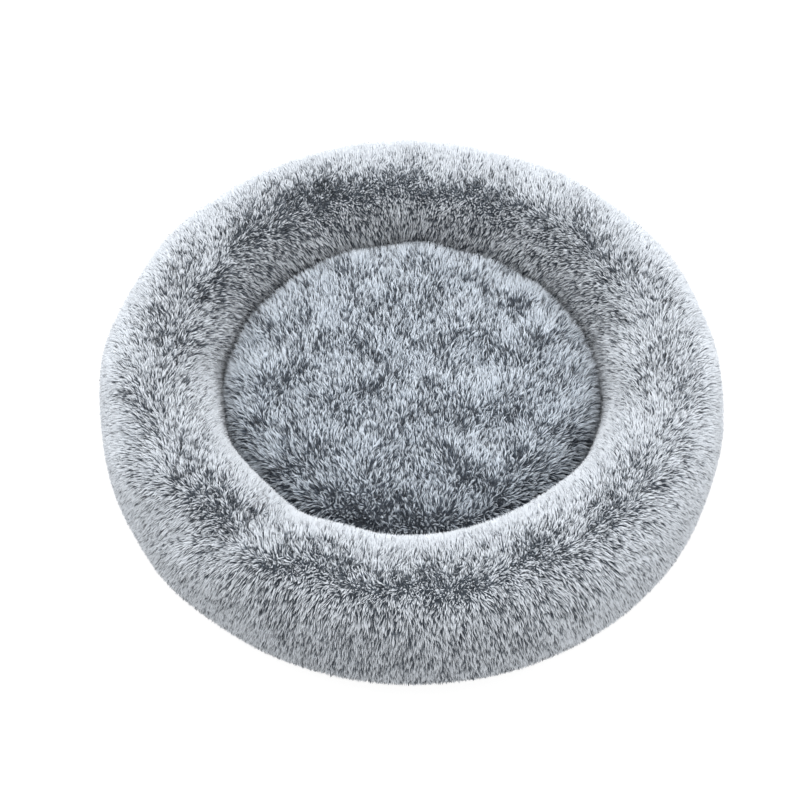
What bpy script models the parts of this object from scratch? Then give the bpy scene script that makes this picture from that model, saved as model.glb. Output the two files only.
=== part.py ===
"""Round donut pet bed: a furred rim over a fibre bolster, a zipped base and a cushion that lifts out.

Metres, +Z up. The origin is on the floor under the middle of the bed, and the front faces -Y.
Fabric of any depth is one closed solid, and the fur's solid reaches from its backing to its tips.
"""
import math

import bmesh
import bpy
from mathutils import Matrix, Vector

# Bed and rim
BED_RADIUS = 0.4550
RIM_WIDTH = 0.1700
RIM_HEIGHT = 0.2240
RIM_ROUNDING_SHARE = 0.82
SEAM_DRAW = 0.0050
SEAM_SPREAD = 0.1000
LUMP_DEPTH = 0.0012
LUMP_COUNT = 12
SWELL_RISE = 0.0600

# Fabrics
PILE_DEPTH = 0.0195
BACKING_THICKNESS = 0.0010
BASE_THICKNESS = 0.0015
FLOOR_THICKNESS = 0.0020
LINER_THICKNESS = 0.0010
CUSHION_BASE_THICKNESS = 0.0012
CLEARANCE = 0.0003

# Base edge and zip
BASE_EDGE_HEIGHT = 0.0088
ZIP_SLANT = math.radians(41.0)
TAPE_WIDTH = 0.0070
TAPE_LAP = 0.0040
TAPE_THICKNESS = 0.0008
TAPE_END_MARGIN = 0.0030
COIL_WIDTH = 0.0056
COIL_THICKNESS = 0.0024
COIL_INSET = 0.0040
STOP_LENGTH = 0.0030
STOP_PROUD = 0.0003

# Slider and pull
SLIDER_LENGTH = 0.0110
SLIDER_WIDTH = 0.0094
SLIDER_PLATE = 0.0012
SLIDER_PARK_GAP = 0.0010
SLIDER_ROUNDING = 0.0003
BRIDGE_LENGTH = 0.0072
BRIDGE_WIDTH = 0.0016
BRIDGE_BAR = 0.0011
PULL_LENGTH = 0.0120
PULL_WIDTH = 0.0048
PULL_THICKNESS = 0.0012
PULL_BAR = 0.0012
PULL_TURN_GAP = 0.0004
PULL_CORNER = 0.0016

# Care label
LABEL_WIDTH = 0.0250
LABEL_REACH = 0.0120
LABEL_THICKNESS = 0.0006
LABEL_DROP = 0.0045
LABEL_AZIMUTH = math.radians(-15.0)

# Cushion
CUSHION_TOP = 0.1660
CUSHION_PLAY = 0.0020
CUSHION_SEAM_HEIGHT = 0.0450
CUSHION_WAIST_HEIGHT = 0.0850
CUSHION_SIDE_SHARE = 0.35
CUSHION_CROWN_SHARE = 0.55
CUSHION_BASE_SHARE = 0.30

# Facets
RING_STEPS = 48
ZIP_STEPS = 72
SECTION_STEPS = 20
CUSHION_STEPS = 5
FINE_CUSHION_STEPS = 10
COIL_SIDES = 6
CORNER_STEPS = 4
MERGE_DISTANCE = 0.00005
CUT_OVERRUN = 0.0010
QUARTER = math.pi / 2
TINY = 1e-9

# Colours, as linear red, green and blue
FUR_COLOUR = (0.42, 0.47, 0.55)
CUSHION_FUR_COLOUR = (0.36, 0.42, 0.52)
BASE_COLOUR = (0.060, 0.070, 0.085)
FLOOR_COLOUR = (0.22, 0.24, 0.27)
LINER_COLOUR = (0.80, 0.80, 0.78)
FIBRE_COLOUR = (0.88, 0.88, 0.86)
TAPE_COLOUR = (0.10, 0.11, 0.13)
COIL_COLOUR = (0.13, 0.14, 0.16)
METAL_COLOUR = (0.42, 0.43, 0.45)
LABEL_COLOUR = (0.85, 0.85, 0.83)

# Worked out from the sizes above
HALF_WIDTH = RIM_WIDTH / 2
RING_RADIUS = BED_RADIUS - HALF_WIDTH
NEST_RADIUS = BED_RADIUS - RIM_WIDTH
COVER_DEPTH = PILE_DEPTH + BACKING_THICKNESS
FLOOR_TOP = BASE_THICKNESS + CLEARANCE + FLOOR_THICKNESS
FRONT_HEM = BASE_EDGE_HEIGHT + CLEARANCE
INNER_HEM = FLOOR_TOP + CLEARANCE
CUSHION_FLOOR = FLOOR_TOP + CLEARANCE
CUSHION_RADIUS = NEST_RADIUS - LUMP_DEPTH - CUSHION_PLAY


def power(value, exponent):
    """Raise a sine or cosine to a power and keep its sign."""
    if abs(value) < TINY:
        return 0.0
    return math.copysign(abs(value) ** exponent, value)


class RimSection:
    """One closed curve of the rim's cross-section, drawn in from the fur tips by an inset."""

    def __init__(self, inset, floor):
        self.half_width = HALF_WIDTH - inset
        self.half_height = (RIM_HEIGHT - inset - floor) / 2
        self.middle = floor + self.half_height

    def point(self, turn):
        """Return (radius, height) at a turn, counted from the outer side towards the top."""
        radius = RING_RADIUS + self.half_width * power(math.cos(turn), RIM_ROUNDING_SHARE)
        height = self.middle + self.half_height * power(math.sin(turn), RIM_ROUNDING_SHARE)
        return radius, height

    def turn_at(self, height):
        """Return the turn at which the outer side passes a height."""
        share = (height - self.middle) / self.half_height
        return math.asin(power(share, 1 / RIM_ROUNDING_SHARE))

    def radii_at(self, height):
        """Return the inner and the outer radius at a height."""
        outer, _ = self.point(self.turn_at(height))
        return 2 * RING_RADIUS - outer, outer

    def run(self, start, stop, stride=1):
        """Return points from one turn to another, through the shared turns between them."""
        step = stride * 2 * math.pi / SECTION_STEPS
        first = math.floor(start / step) + 1
        last = math.ceil(stop / step) - 1
        turns = [start] + [step * index for index in range(first, last + 1)] + [stop]
        return [self.point(turn) for turn in turns]

    def reach(self, slant):
        """Return how far the curve reaches along a normal that leans down from the horizontal."""
        turns = [2 * math.pi * index / SECTION_STEPS for index in range(SECTION_STEPS)]
        points = [self.point(turn) for turn in turns]
        return max(radius * math.cos(slant) - height * math.sin(slant) for radius, height in points)


FUR_TIPS = RimSection(0, 0)
FUR_BACK = RimSection(COVER_DEPTH, BASE_THICKNESS)
LINER_FACE = RimSection(COVER_DEPTH + CLEARANCE, BASE_THICKNESS + CLEARANCE)
LINER_BACK = RimSection(
    COVER_DEPTH + CLEARANCE + LINER_THICKNESS, BASE_THICKNESS + CLEARANCE + LINER_THICKNESS
)
FIBRE_FACE = RimSection(
    COVER_DEPTH + 2 * CLEARANCE + LINER_THICKNESS, BASE_THICKNESS + 2 * CLEARANCE + LINER_THICKNESS
)

# The zip lies on a cone that leans over the bolster's lower edge
EDGE_BACK = LINER_FACE.reach(ZIP_SLANT) + CLEARANCE
EDGE_FACE = EDGE_BACK + BASE_THICKNESS
TAPE_BACK = EDGE_FACE + CLEARANCE
TAPE_MIDDLE = TAPE_BACK + TAPE_THICKNESS / 2


def cone_point(along, normal):
    """Return (radius, height) at a place along the zip's cone and at a reach along its normal."""
    radius = normal * math.cos(ZIP_SLANT) + along * math.sin(ZIP_SLANT)
    height = along * math.cos(ZIP_SLANT) - normal * math.sin(ZIP_SLANT)
    return radius, height


def along_at(height, normal):
    """Return the place along the zip's cone at which a reach along its normal has a height."""
    return (height + normal * math.sin(ZIP_SLANT)) / math.cos(ZIP_SLANT)


LOWER_TAPE_TOP = along_at(BASE_EDGE_HEIGHT, TAPE_MIDDLE) - TAPE_LAP + TAPE_WIDTH
COIL_BOTTOM = LOWER_TAPE_TOP + CLEARANCE
COIL_MIDDLE = COIL_BOTTOM + COIL_WIDTH / 2
UPPER_TAPE_BOTTOM = COIL_BOTTOM + COIL_WIDTH + CLEARANCE
UPPER_TAPE_TOP = UPPER_TAPE_BOTTOM + TAPE_WIDTH
ZIP_HEM = cone_point(UPPER_TAPE_TOP, TAPE_BACK)[1] + CLEARANCE
COIL_RADIUS = cone_point(COIL_MIDDLE, TAPE_MIDDLE)[0]

# Angles round the bed, from lengths along the zip
TAPE_START = TAPE_END_MARGIN / COIL_RADIUS
STOP_START = TAPE_START + COIL_INSET / COIL_RADIUS
COIL_START = STOP_START + (STOP_LENGTH + CLEARANCE) / COIL_RADIUS
SLIDER_PARK = COIL_START + (SLIDER_PARK_GAP + SLIDER_LENGTH / 2) / COIL_RADIUS
SLIDER_TRAVEL = math.pi - 2 * SLIDER_PARK

# Heights in the slider's own frame, whose Z runs out from the middle of the tapes
PLATE_BACK = COIL_THICKNESS / 2 + CLEARANCE
PLATE_FACE = PLATE_BACK + SLIDER_PLATE
FLANGE_BACK = TAPE_THICKNESS / 2 + CLEARANCE
PULL_BAR_SWING = math.hypot(PULL_BAR, PULL_THICKNESS) / 2
PULL_AXIS = PLATE_FACE + PULL_BAR_SWING + PULL_TURN_GAP
BRIDGE_UNDERSIDE = PULL_AXIS + PULL_BAR_SWING + PULL_TURN_GAP
BRIDGE_TOP = BRIDGE_UNDERSIDE + BRIDGE_BAR
PULL_WINDOW = BRIDGE_LENGTH / 2 + PULL_BAR_SWING + PULL_TURN_GAP


def swell(azimuth):
    """Return how far the stuffed rim stands out round the bed: drawn in at its seams, with soft lumps."""
    from_seam = abs((azimuth + QUARTER / 2) % QUARTER - QUARTER / 2)
    draw = SEAM_DRAW * math.exp(-((from_seam * BED_RADIUS / SEAM_SPREAD) ** 2))
    return LUMP_DEPTH * math.cos(LUMP_COUNT * azimuth) - draw


def stuffed_point(radius, height, azimuth):
    """Return a point of the rim in space, with the swell fading out above the zip's hem."""
    rise = min(max((height - ZIP_HEM) / SWELL_RISE, 0), 1)
    growth = swell(azimuth) * rise * rise * (3 - 2 * rise)
    radius += growth * (radius - RING_RADIUS) / HALF_WIDTH
    return Vector((radius * math.cos(azimuth), radius * math.sin(azimuth), height + growth))


def turned_point(radius, height, azimuth):
    """Return a point of a plain turned piece in space."""
    return Vector((radius * math.cos(azimuth), radius * math.sin(azimuth), height))


def new_collection(name):
    """Add a collection to the scene."""
    collection = bpy.data.collections.new(name)
    bpy.context.scene.collection.children.link(collection)
    return collection


def new_material(name, colour, roughness, metallic):
    """Make a Principled material."""
    material = bpy.data.materials.new(name)
    material.use_nodes = True
    shader = material.node_tree.nodes["Principled BSDF"]
    shader.inputs["Base Color"].default_value = (*colour, 1)
    shader.inputs["Roughness"].default_value = roughness
    shader.inputs["Metallic"].default_value = metallic
    return material


def new_piece(name, data, collection, colour, roughness=0.95, metallic=0.0):
    """Add one named piece of the bed, with its own material."""
    piece = bpy.data.objects.new(name, data)
    data.materials.append(new_material(name, colour, roughness, metallic))
    collection.objects.link(piece)
    return piece


def new_empty(name, collection, location):
    """Add an empty that stands on a joint's axis."""
    empty = bpy.data.objects.new(name, None)
    empty.location = location
    collection.objects.link(empty)
    return empty


def carry(parent, child):
    """Parent a piece and keep its place in the world."""
    bpy.context.view_layer.update()
    world = child.matrix_world.copy()
    child.parent = parent
    child.matrix_parent_inverse = parent.matrix_world.inverted()
    child.matrix_world = world


def from_ring_line(first, second):
    """Return how far the middle between two vertices lies from the line through the rim's sections."""
    middle = (first.co + second.co) / 2
    return math.hypot(middle.xy.length - RING_RADIUS, middle.z - RIM_HEIGHT / 2)


def outward_triangles(a, b, c, d):
    """Split a warped quad along its outer diagonal, so that layers in each other keep their clearance."""
    if from_ring_line(a, c) > from_ring_line(b, d):
        return (a, b, c), (c, d, a)
    return (b, c, d), (d, a, b)


def loft(name, sections, closed):
    """Skin a row of sections with equal numbers of points, as a whole ring or with two end caps."""
    mesh = bpy.data.meshes.new(name)
    bm = bmesh.new()
    rings = [[bm.verts.new(point) for point in section] for section in sections]
    pairs = list(zip(rings, rings[1:]))
    if closed:
        pairs.append((rings[-1], rings[0]))
    else:
        bm.faces.new(rings[0])
        bm.faces.new(rings[-1])
    for near, far in pairs:
        for index, vertex in enumerate(near):
            for triangle in outward_triangles(near[index - 1], vertex, far[index], far[index - 1]):
                bm.faces.new(triangle)
    bmesh.ops.recalc_face_normals(bm, faces=bm.faces)
    bm.to_mesh(mesh)
    bm.free()
    mesh.shade_smooth()
    mesh.set_sharp_from_angle(angle=math.radians(40))
    return mesh


def spaced(start, stop, steps):
    """Return evenly spaced angles, both ends included."""
    return [start + (stop - start) * index / steps for index in range(steps + 1)]


def whole_ring(name, outline, place):
    """Loft a closed outline of (radius, height) points all the way round the bed."""
    azimuths = spaced(0, 2 * math.pi, RING_STEPS)[:-1]
    sections = [[place(*point, azimuth) for point in outline] for azimuth in azimuths]
    return loft(name, sections, closed=True)


def part_ring(name, outline, place, azimuths):
    """Loft a closed outline of (radius, height) points through some angles round the bed."""
    sections = [[place(*point, azimuth) for point in outline] for azimuth in azimuths]
    return loft(name, sections, closed=False)


def turned_piece(name, outline, collection, colour):
    """Turn a closed outline of (radius, height) points about the bed's axis."""
    mesh = bpy.data.meshes.new(name)
    count = len(outline)
    edges = [(index, (index + 1) % count) for index in range(count)]
    if outline[0][0] == 0 and outline[-1][0] == 0:
        edges.pop()
    mesh.from_pydata([(radius, 0, height) for radius, height in outline], edges, [])
    piece = new_piece(name, mesh, collection, colour)
    turn = piece.modifiers.new("Turn", "SCREW")
    turn.steps = RING_STEPS
    turn.render_steps = RING_STEPS
    turn.use_merge_vertices = True
    turn.merge_threshold = MERGE_DISTANCE
    turn.use_smooth_shade = True
    return piece


def build_rim_covers(collection):
    """Make the fur cover's gores. The two at the back stop above the zip, and the front ones reach the base."""
    names = ("rim_cover_back_right", "rim_cover_back_left", "rim_cover_front_left", "rim_cover_front_right")
    hems = (ZIP_HEM, ZIP_HEM, FRONT_HEM, FRONT_HEM)
    gap = CLEARANCE / 2 / RING_RADIUS
    for index, (name, hem) in enumerate(zip(names, hems)):
        tips = FUR_TIPS.run(FUR_TIPS.turn_at(hem), math.pi - FUR_TIPS.turn_at(INNER_HEM))
        back = FUR_BACK.run(FUR_BACK.turn_at(hem), math.pi - FUR_BACK.turn_at(INNER_HEM))
        azimuths = spaced(index * QUARTER, (index + 1) * QUARTER, RING_STEPS // len(names))
        azimuths[0] += gap
        azimuths[-1] -= gap
        mesh = part_ring(name, tips + back[::-1], stuffed_point, azimuths)
        new_piece(name, mesh, collection, FUR_COLOUR)


def build_bolster(collection):
    """Make the bolster: a bag of two ring panels, sewn at its outer and inner waist, round its fibre."""
    waist = LINER_FACE.middle + CLEARANCE / 2
    face_turn = LINER_FACE.turn_at(waist)
    back_turn = LINER_BACK.turn_at(waist)
    for name, start in (("bolster_liner_top", 0), ("bolster_liner_bottom", math.pi)):
        face = LINER_FACE.run(start + face_turn, start + math.pi - face_turn)
        back = LINER_BACK.run(start + back_turn, start + math.pi - back_turn, stride=2)
        mesh = whole_ring(name, face + back[::-1], stuffed_point)
        new_piece(name, mesh, collection, LINER_COLOUR)
    turns = [2 * math.pi * index / SECTION_STEPS for index in range(0, SECTION_STEPS, 2)]
    outline = [FIBRE_FACE.point(turn) for turn in turns]
    new_piece("bolster_fill", whole_ring("bolster_fill", outline, stuffed_point), collection, FIBRE_COLOUR)


def build_base(collection):
    """Make the base panel with its turned-up edge, and the nest's floor on it."""
    edge_face = cone_point(along_at(BASE_EDGE_HEIGHT, EDGE_FACE), EDGE_FACE)
    edge_back = cone_point(along_at(BASE_EDGE_HEIGHT, EDGE_BACK), EDGE_BACK)
    foot = cone_point(along_at(0, EDGE_FACE), EDGE_FACE)
    heel = cone_point(along_at(BASE_THICKNESS, EDGE_BACK), EDGE_BACK)
    outline = [(0, BASE_THICKNESS), heel, edge_back, edge_face, foot, (0, 0)]
    turned_piece("base_panel", outline, collection, BASE_COLOUR)
    tips_hem, _ = FUR_TIPS.radii_at(INNER_HEM)
    back_hem, _ = FUR_BACK.radii_at(INNER_HEM)
    floor_radius = (tips_hem + back_hem) / 2
    low = BASE_THICKNESS + CLEARANCE
    outline = [(0, FLOOR_TOP), (floor_radius, FLOOR_TOP), (floor_radius, low), (0, low)]
    turned_piece("nest_floor", outline, collection, FLOOR_COLOUR)


def cone_ring(name, bottom, top, back, face, azimuths):
    """Loft a flat band of the zip's cone."""
    outline = [cone_point(bottom, back), cone_point(bottom, face), cone_point(top, face), cone_point(top, back)]
    return part_ring(name, outline, turned_point, azimuths)


def zip_frame(azimuth, along, normal):
    """Return the frame of a piece on the zip: X along its travel, Y up the cone, Z out."""
    travel = Vector((-math.sin(azimuth), math.cos(azimuth), 0))
    outward = Vector((math.cos(azimuth), math.sin(azimuth), 0))
    up_cone = outward * math.sin(ZIP_SLANT) + Vector((0, 0, math.cos(ZIP_SLANT)))
    out = outward * math.cos(ZIP_SLANT) - Vector((0, 0, math.sin(ZIP_SLANT)))
    turn = Matrix((travel, up_cone, out)).transposed().to_4x4()
    return Matrix.Translation(turned_point(*cone_point(along, normal), azimuth)) @ turn


def build_zip_tapes(collection):
    """Make the two tapes and the coil along the back half of the base edge."""
    face = TAPE_BACK + TAPE_THICKNESS
    azimuths = spaced(TAPE_START, math.pi - TAPE_START, ZIP_STEPS)
    lower = cone_ring("zip_tape_lower", LOWER_TAPE_TOP - TAPE_WIDTH, LOWER_TAPE_TOP, TAPE_BACK, face, azimuths)
    new_piece("zip_tape_lower", lower, collection, TAPE_COLOUR)
    upper = cone_ring("zip_tape_upper", UPPER_TAPE_BOTTOM, UPPER_TAPE_TOP, TAPE_BACK, face, azimuths)
    new_piece("zip_tape_upper", upper, collection, TAPE_COLOUR)
    outline = []
    for angle in spaced(0, 2 * math.pi, COIL_SIDES)[:-1]:
        along = COIL_MIDDLE + COIL_WIDTH / 2 * math.cos(angle)
        normal = TAPE_MIDDLE + COIL_THICKNESS / 2 * math.sin(angle) / math.sin(math.pi / 3)
        outline.append(cone_point(along, normal))
    azimuths = spaced(COIL_START, math.pi - COIL_START, ZIP_STEPS)
    mesh = part_ring("zip_coil", outline, turned_point, azimuths)
    new_piece("zip_coil", mesh, collection, COIL_COLOUR, roughness=0.45)


def new_block(name, low, high):
    """Make a box mesh between two corners."""
    mesh = bpy.data.meshes.new(name)
    bm = bmesh.new()
    bmesh.ops.create_cube(bm, size=1)
    low = Vector(low)
    high = Vector(high)
    bmesh.ops.scale(bm, vec=high - low, verts=bm.verts)
    bmesh.ops.translate(bm, vec=(low + high) / 2, verts=bm.verts)
    bm.to_mesh(mesh)
    bm.free()
    return mesh


def build_zip_stops(collection):
    """Make the stop at each end of the coil."""
    half = Vector((STOP_LENGTH, COIL_WIDTH, COIL_THICKNESS + 2 * STOP_PROUD)) / 2
    middle = STOP_START + STOP_LENGTH / 2 / COIL_RADIUS
    for name, azimuth in (("zip_top_stop", middle), ("zip_bottom_stop", math.pi - middle)):
        stop = new_piece(name, new_block(name, -half, half), collection, METAL_COLOUR, 0.35, 1.0)
        stop.matrix_world = zip_frame(azimuth, COIL_MIDDLE, TAPE_MIDDLE)


def helper(name, mesh, frame, cutters):
    """Add a helper shape that is used by a Boolean and isn't a piece of the bed."""
    shape = bpy.data.objects.new(name, mesh)
    shape.matrix_world = frame
    shape.display_type = "WIRE"
    shape.hide_render = True
    cutters.objects.link(shape)
    return shape


def combine(piece, shape, operation):
    """Join a helper to a piece, or cut it out."""
    boolean = piece.modifiers.new(shape.name, "BOOLEAN")
    boolean.operation = operation
    boolean.solver = "EXACT"
    boolean.object = shape


def build_slider(collection, cutters):
    """Make the slider: a plate with two flanges over the coil, and a bridge that holds the pull."""
    frame = zip_frame(SLIDER_PARK, COIL_MIDDLE, TAPE_MIDDLE)
    half = SLIDER_LENGTH / 2
    side = SLIDER_WIDTH / 2
    block = new_block("zip_slider", (-half, -side, FLANGE_BACK), (half, side, PLATE_FACE))
    slider = new_piece("zip_slider", block, collection, METAL_COLOUR, 0.35, 1.0)
    slider.matrix_world = frame
    reach = BRIDGE_LENGTH / 2
    thick = BRIDGE_WIDTH / 2
    bridge = new_block("bridge", (-reach, -thick, PLATE_BACK + SLIDER_PLATE / 2), (reach, thick, BRIDGE_TOP))
    combine(slider, helper("bridge", bridge, frame, cutters), "UNION")
    span = reach - BRIDGE_BAR
    room = thick + CUT_OVERRUN
    window = new_block("bridge_window", (-span, -room, PLATE_FACE), (span, room, BRIDGE_UNDERSIDE))
    combine(slider, helper("bridge_window", window, frame, cutters), "DIFFERENCE")
    past = half + CUT_OVERRUN
    throat = COIL_WIDTH / 2 + CLEARANCE
    channel = new_block("coil_channel", (-past, -throat, FLANGE_BACK - CUT_OVERRUN), (past, throat, PLATE_BACK))
    combine(slider, helper("coil_channel", channel, frame, cutters), "DIFFERENCE")
    edges = slider.modifiers.new("Edges", "BEVEL")
    edges.width = SLIDER_ROUNDING
    edges.segments = 1
    edges.limit_method = "ANGLE"
    return slider


def add_loop(curve, points):
    """Add a closed straight-sided loop to a flat curve."""
    spline = curve.splines.new("POLY")
    spline.points.add(len(points) - 1)
    for target, (x, y) in zip(spline.points, points):
        target.co = (x, y, 0, 1)
    spline.use_cyclic_u = True


def rounded_outline(low, high, radius):
    """Return a rectangle with rounded corners."""
    centres = (
        (high[0] - radius, high[1] - radius),
        (low[0] + radius, high[1] - radius),
        (low[0] + radius, low[1] + radius),
        (high[0] - radius, low[1] + radius),
    )
    points = []
    for index, (x, y) in enumerate(centres):
        for angle in spaced(index * math.pi / 2, (index + 1) * math.pi / 2, CORNER_STEPS):
            points.append((x + radius * math.cos(angle), y + radius * math.sin(angle)))
    return points


def build_pull(collection, slider):
    """Make the pull tab: a plate whose window leaves a bar that turns under the slider's bridge."""
    outline = bpy.data.curves.new("zip_pull", "CURVE")
    outline.dimensions = "2D"
    outline.fill_mode = "BOTH"
    outline.extrude = PULL_THICKNESS / 2
    side = PULL_WIDTH / 2
    low = -PULL_BAR / 2
    add_loop(outline, rounded_outline((-side, low), (side, PULL_LENGTH), PULL_CORNER / 2))
    room = BRIDGE_WIDTH / 2 + PULL_TURN_GAP
    add_loop(outline, [(room, -low), (room, PULL_WINDOW), (-room, PULL_WINDOW), (-room, -low)])
    pull = new_piece("zip_pull", outline, collection, METAL_COLOUR, 0.35, 1.0)
    frame = zip_frame(SLIDER_PARK, COIL_MIDDLE, TAPE_MIDDLE + PULL_AXIS)
    stand_up = Matrix(((0, 0, 1, 0), (1, 0, 0, 0), (0, 1, 0, 0), (0, 0, 0, 1)))
    pull.matrix_world = frame @ stand_up
    carry(slider, pull)


def build_label(collection):
    """Make the blank care label, sewn to the base edge under the fur."""
    start, top = cone_point(along_at(BASE_EDGE_HEIGHT - LABEL_THICKNESS, TAPE_BACK), TAPE_BACK)
    stop = start + LABEL_REACH
    low = top - LABEL_DROP
    outline = [
        (start, top),
        (start, top - LABEL_THICKNESS),
        (stop, low - LABEL_THICKNESS),
        (stop, low),
    ]
    half = LABEL_WIDTH / 2 / start
    azimuths = spaced(LABEL_AZIMUTH - half, LABEL_AZIMUTH + half, CORNER_STEPS)
    mesh = part_ring("care_label", outline, turned_point, azimuths)
    new_piece("care_label", mesh, collection, LABEL_COLOUR)


def cushion_point(inset, floor, turn):
    """Return (radius, height) on one curve of the cushion's section, drawn in by an inset."""
    radius = (CUSHION_RADIUS - inset) * power(math.cos(turn), CUSHION_SIDE_SHARE)
    rise = math.sin(turn)
    if rise >= 0:
        span = CUSHION_TOP - inset - CUSHION_WAIST_HEIGHT
        return radius, CUSHION_WAIST_HEIGHT + span * power(rise, CUSHION_CROWN_SHARE)
    span = CUSHION_WAIST_HEIGHT - floor
    return radius, CUSHION_WAIST_HEIGHT + span * power(rise, CUSHION_BASE_SHARE)


def cushion_turn(floor, height):
    """Return the turn at which the cushion's side passes a height below its waist."""
    share = (height - CUSHION_WAIST_HEIGHT) / (CUSHION_WAIST_HEIGHT - floor)
    return math.asin(power(share, 1 / CUSHION_BASE_SHARE))


def cushion_run(inset, floor, start, stop, steps):
    """Return points down the cushion's section, through the shared turns between two turns."""
    step = QUARTER / steps
    first = math.ceil(start / step) - 1
    last = math.floor(stop / step) + 1
    turns = [start] + [step * index for index in range(first, last - 1, -1)] + [stop]
    return [cushion_point(inset, floor, turn) for turn in turns]


def build_cushion(collection):
    """Make the loose cushion: a fur top over a plain base, sewn round its fibre."""
    carrier = new_empty("cushion_lift", collection, (0, 0, CUSHION_FLOOR))
    floor_back = CUSHION_FLOOR + CUSHION_BASE_THICKNESS
    hem = CUSHION_SEAM_HEIGHT + CLEARANCE
    stop = cushion_turn(CUSHION_FLOOR, hem)
    tips = cushion_run(0, CUSHION_FLOOR, QUARTER, stop, FINE_CUSHION_STEPS)
    stop = cushion_turn(floor_back, hem)
    back = cushion_run(COVER_DEPTH, floor_back, QUARTER, stop, CUSHION_STEPS)
    top = turned_piece("cushion_top_panel", tips + back[::-1], collection, CUSHION_FUR_COLOUR)
    start = cushion_turn(CUSHION_FLOOR, CUSHION_SEAM_HEIGHT)
    inset = COVER_DEPTH - CUSHION_BASE_THICKNESS
    face = cushion_run(inset, CUSHION_FLOOR, start, -QUARTER, CUSHION_STEPS)
    start = cushion_turn(floor_back, CUSHION_SEAM_HEIGHT)
    back = cushion_run(COVER_DEPTH, floor_back, start, -QUARTER, CUSHION_STEPS)
    base = turned_piece("cushion_base_panel", back[::-1] + face, collection, BASE_COLOUR)
    outline = cushion_run(COVER_DEPTH + CLEARANCE, floor_back + CLEARANCE, QUARTER, -QUARTER, CUSHION_STEPS)
    fill = turned_piece("cushion_fill", outline, collection, FIBRE_COLOUR)
    for piece in (top, base, fill):
        carry(carrier, piece)


def build_zip(collection, cutters):
    """Make the zip, with the slider on an empty that turns about the bed's axis."""
    build_zip_tapes(collection)
    build_zip_stops(collection)
    track = new_empty("zip_track", collection, (0, 0, 0))
    slider = build_slider(collection, cutters)
    carry(track, slider)
    build_pull(collection, slider)


def main():
    """Clear the scene and build the bed."""
    for old in list(bpy.data.objects):
        bpy.data.objects.remove(old, do_unlink=True)
    bed = new_collection("donut_pet_bed")
    cutters = new_collection("cutters")
    build_rim_covers(bed)
    build_bolster(bed)
    build_base(bed)
    build_zip(bed, cutters)
    build_label(bed)
    build_cushion(bed)
    bpy.context.view_layer.update()


main()
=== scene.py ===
"""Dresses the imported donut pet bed: frosted long fur on its ring and cushion, and every piece under the fur."""

import logging
import math
from dataclasses import dataclass
from enum import Enum
from functools import cache

import bmesh
import bpy
import numpy as np
from bpy.types import ID, Material, Mesh, Node, NodeSocket, NodeTree, Object
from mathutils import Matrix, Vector
from mathutils.kdtree import KDTree
from numpy import ndarray
from numpy.random import Generator


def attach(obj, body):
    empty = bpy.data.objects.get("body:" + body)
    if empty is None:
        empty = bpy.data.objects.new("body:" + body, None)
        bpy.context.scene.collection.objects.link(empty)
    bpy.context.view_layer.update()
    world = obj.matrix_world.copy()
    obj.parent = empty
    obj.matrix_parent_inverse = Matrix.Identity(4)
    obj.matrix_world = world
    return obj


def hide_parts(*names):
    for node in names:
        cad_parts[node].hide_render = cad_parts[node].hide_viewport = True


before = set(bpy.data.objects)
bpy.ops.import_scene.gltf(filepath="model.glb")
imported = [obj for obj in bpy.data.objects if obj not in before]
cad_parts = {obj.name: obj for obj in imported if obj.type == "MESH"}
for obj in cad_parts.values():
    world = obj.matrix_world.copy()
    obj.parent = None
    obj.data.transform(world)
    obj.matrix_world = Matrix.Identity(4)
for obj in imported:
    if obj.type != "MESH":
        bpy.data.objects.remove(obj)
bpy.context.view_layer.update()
LOG = logging.getLogger("donut_bed")
QUARTER = math.pi / 2
TURN = 2 * math.pi
LEVEL = np.array([1, 1, 0])
SIDES = ("back_right", "back_left", "front_left", "front_right")
SHARP_FOLD = math.radians(50)
Colour = tuple[float, float, float]
Stops = tuple[tuple[float, Colour], ...]


def eased(values: ndarray, share: float) -> ndarray:
    """Raise sines or cosines to a power and keep their signs."""
    return np.sign(values) * np.abs(values) ** share


def unit(vectors: ndarray) -> ndarray:
    """Scale each row to a length of one."""
    return vectors / np.maximum(np.linalg.norm(vectors, axis=-1, keepdims=True), 1e-12)


def smooth(values: ndarray) -> ndarray:
    """Ease values from 0 to 1 with flat ends."""
    held = np.clip(values, 0, 1)
    return held * held * (3 - 2 * held)


def turned(radii: ndarray | float, azimuths: ndarray, heights: ndarray | float) -> ndarray:
    """Return points at those radii and heights, turned round the bed's middle."""
    return np.stack(np.broadcast_arrays(radii * np.cos(azimuths), radii * np.sin(azimuths), heights), axis=-1)


def around(places: ndarray) -> ndarray:
    """Return the azimuth of each place, from 0 to a whole turn."""
    return np.arctan2(places[:, 1], places[:, 0]) % TURN


class Ripple:
    """A smooth random field in space, the same on each run."""

    def __init__(self, seed: int, length: float, count: int = 20) -> None:
        """Set up the waves.

        Args:
            seed: the random seed.
            length: the distance from one crest to the next, in metres.
            count: how many waves are added up.
        """
        rng = np.random.default_rng(seed)
        ways = unit(rng.normal(size=(count, 3)))
        self.ways = ways * (TURN / (length * rng.uniform(0.75, 1.35, (count, 1))))
        self.starts = rng.uniform(0, TURN, count)

    def at(self, places: ndarray) -> ndarray:
        """Return the field at each place, about -2 to 2, with a spread of one."""
        waves = np.cos(places @ self.ways.T + self.starts)
        return waves.sum(axis=-1) * math.sqrt(2 / len(self.starts))


def ripple_vectors(seed: int, length: float, places: ndarray) -> ndarray:
    """Return a smooth random vector at each place, with a spread of one along each axis."""
    return np.stack([Ripple(seed + axis, length).at(places) for axis in range(3)], axis=1)


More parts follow.
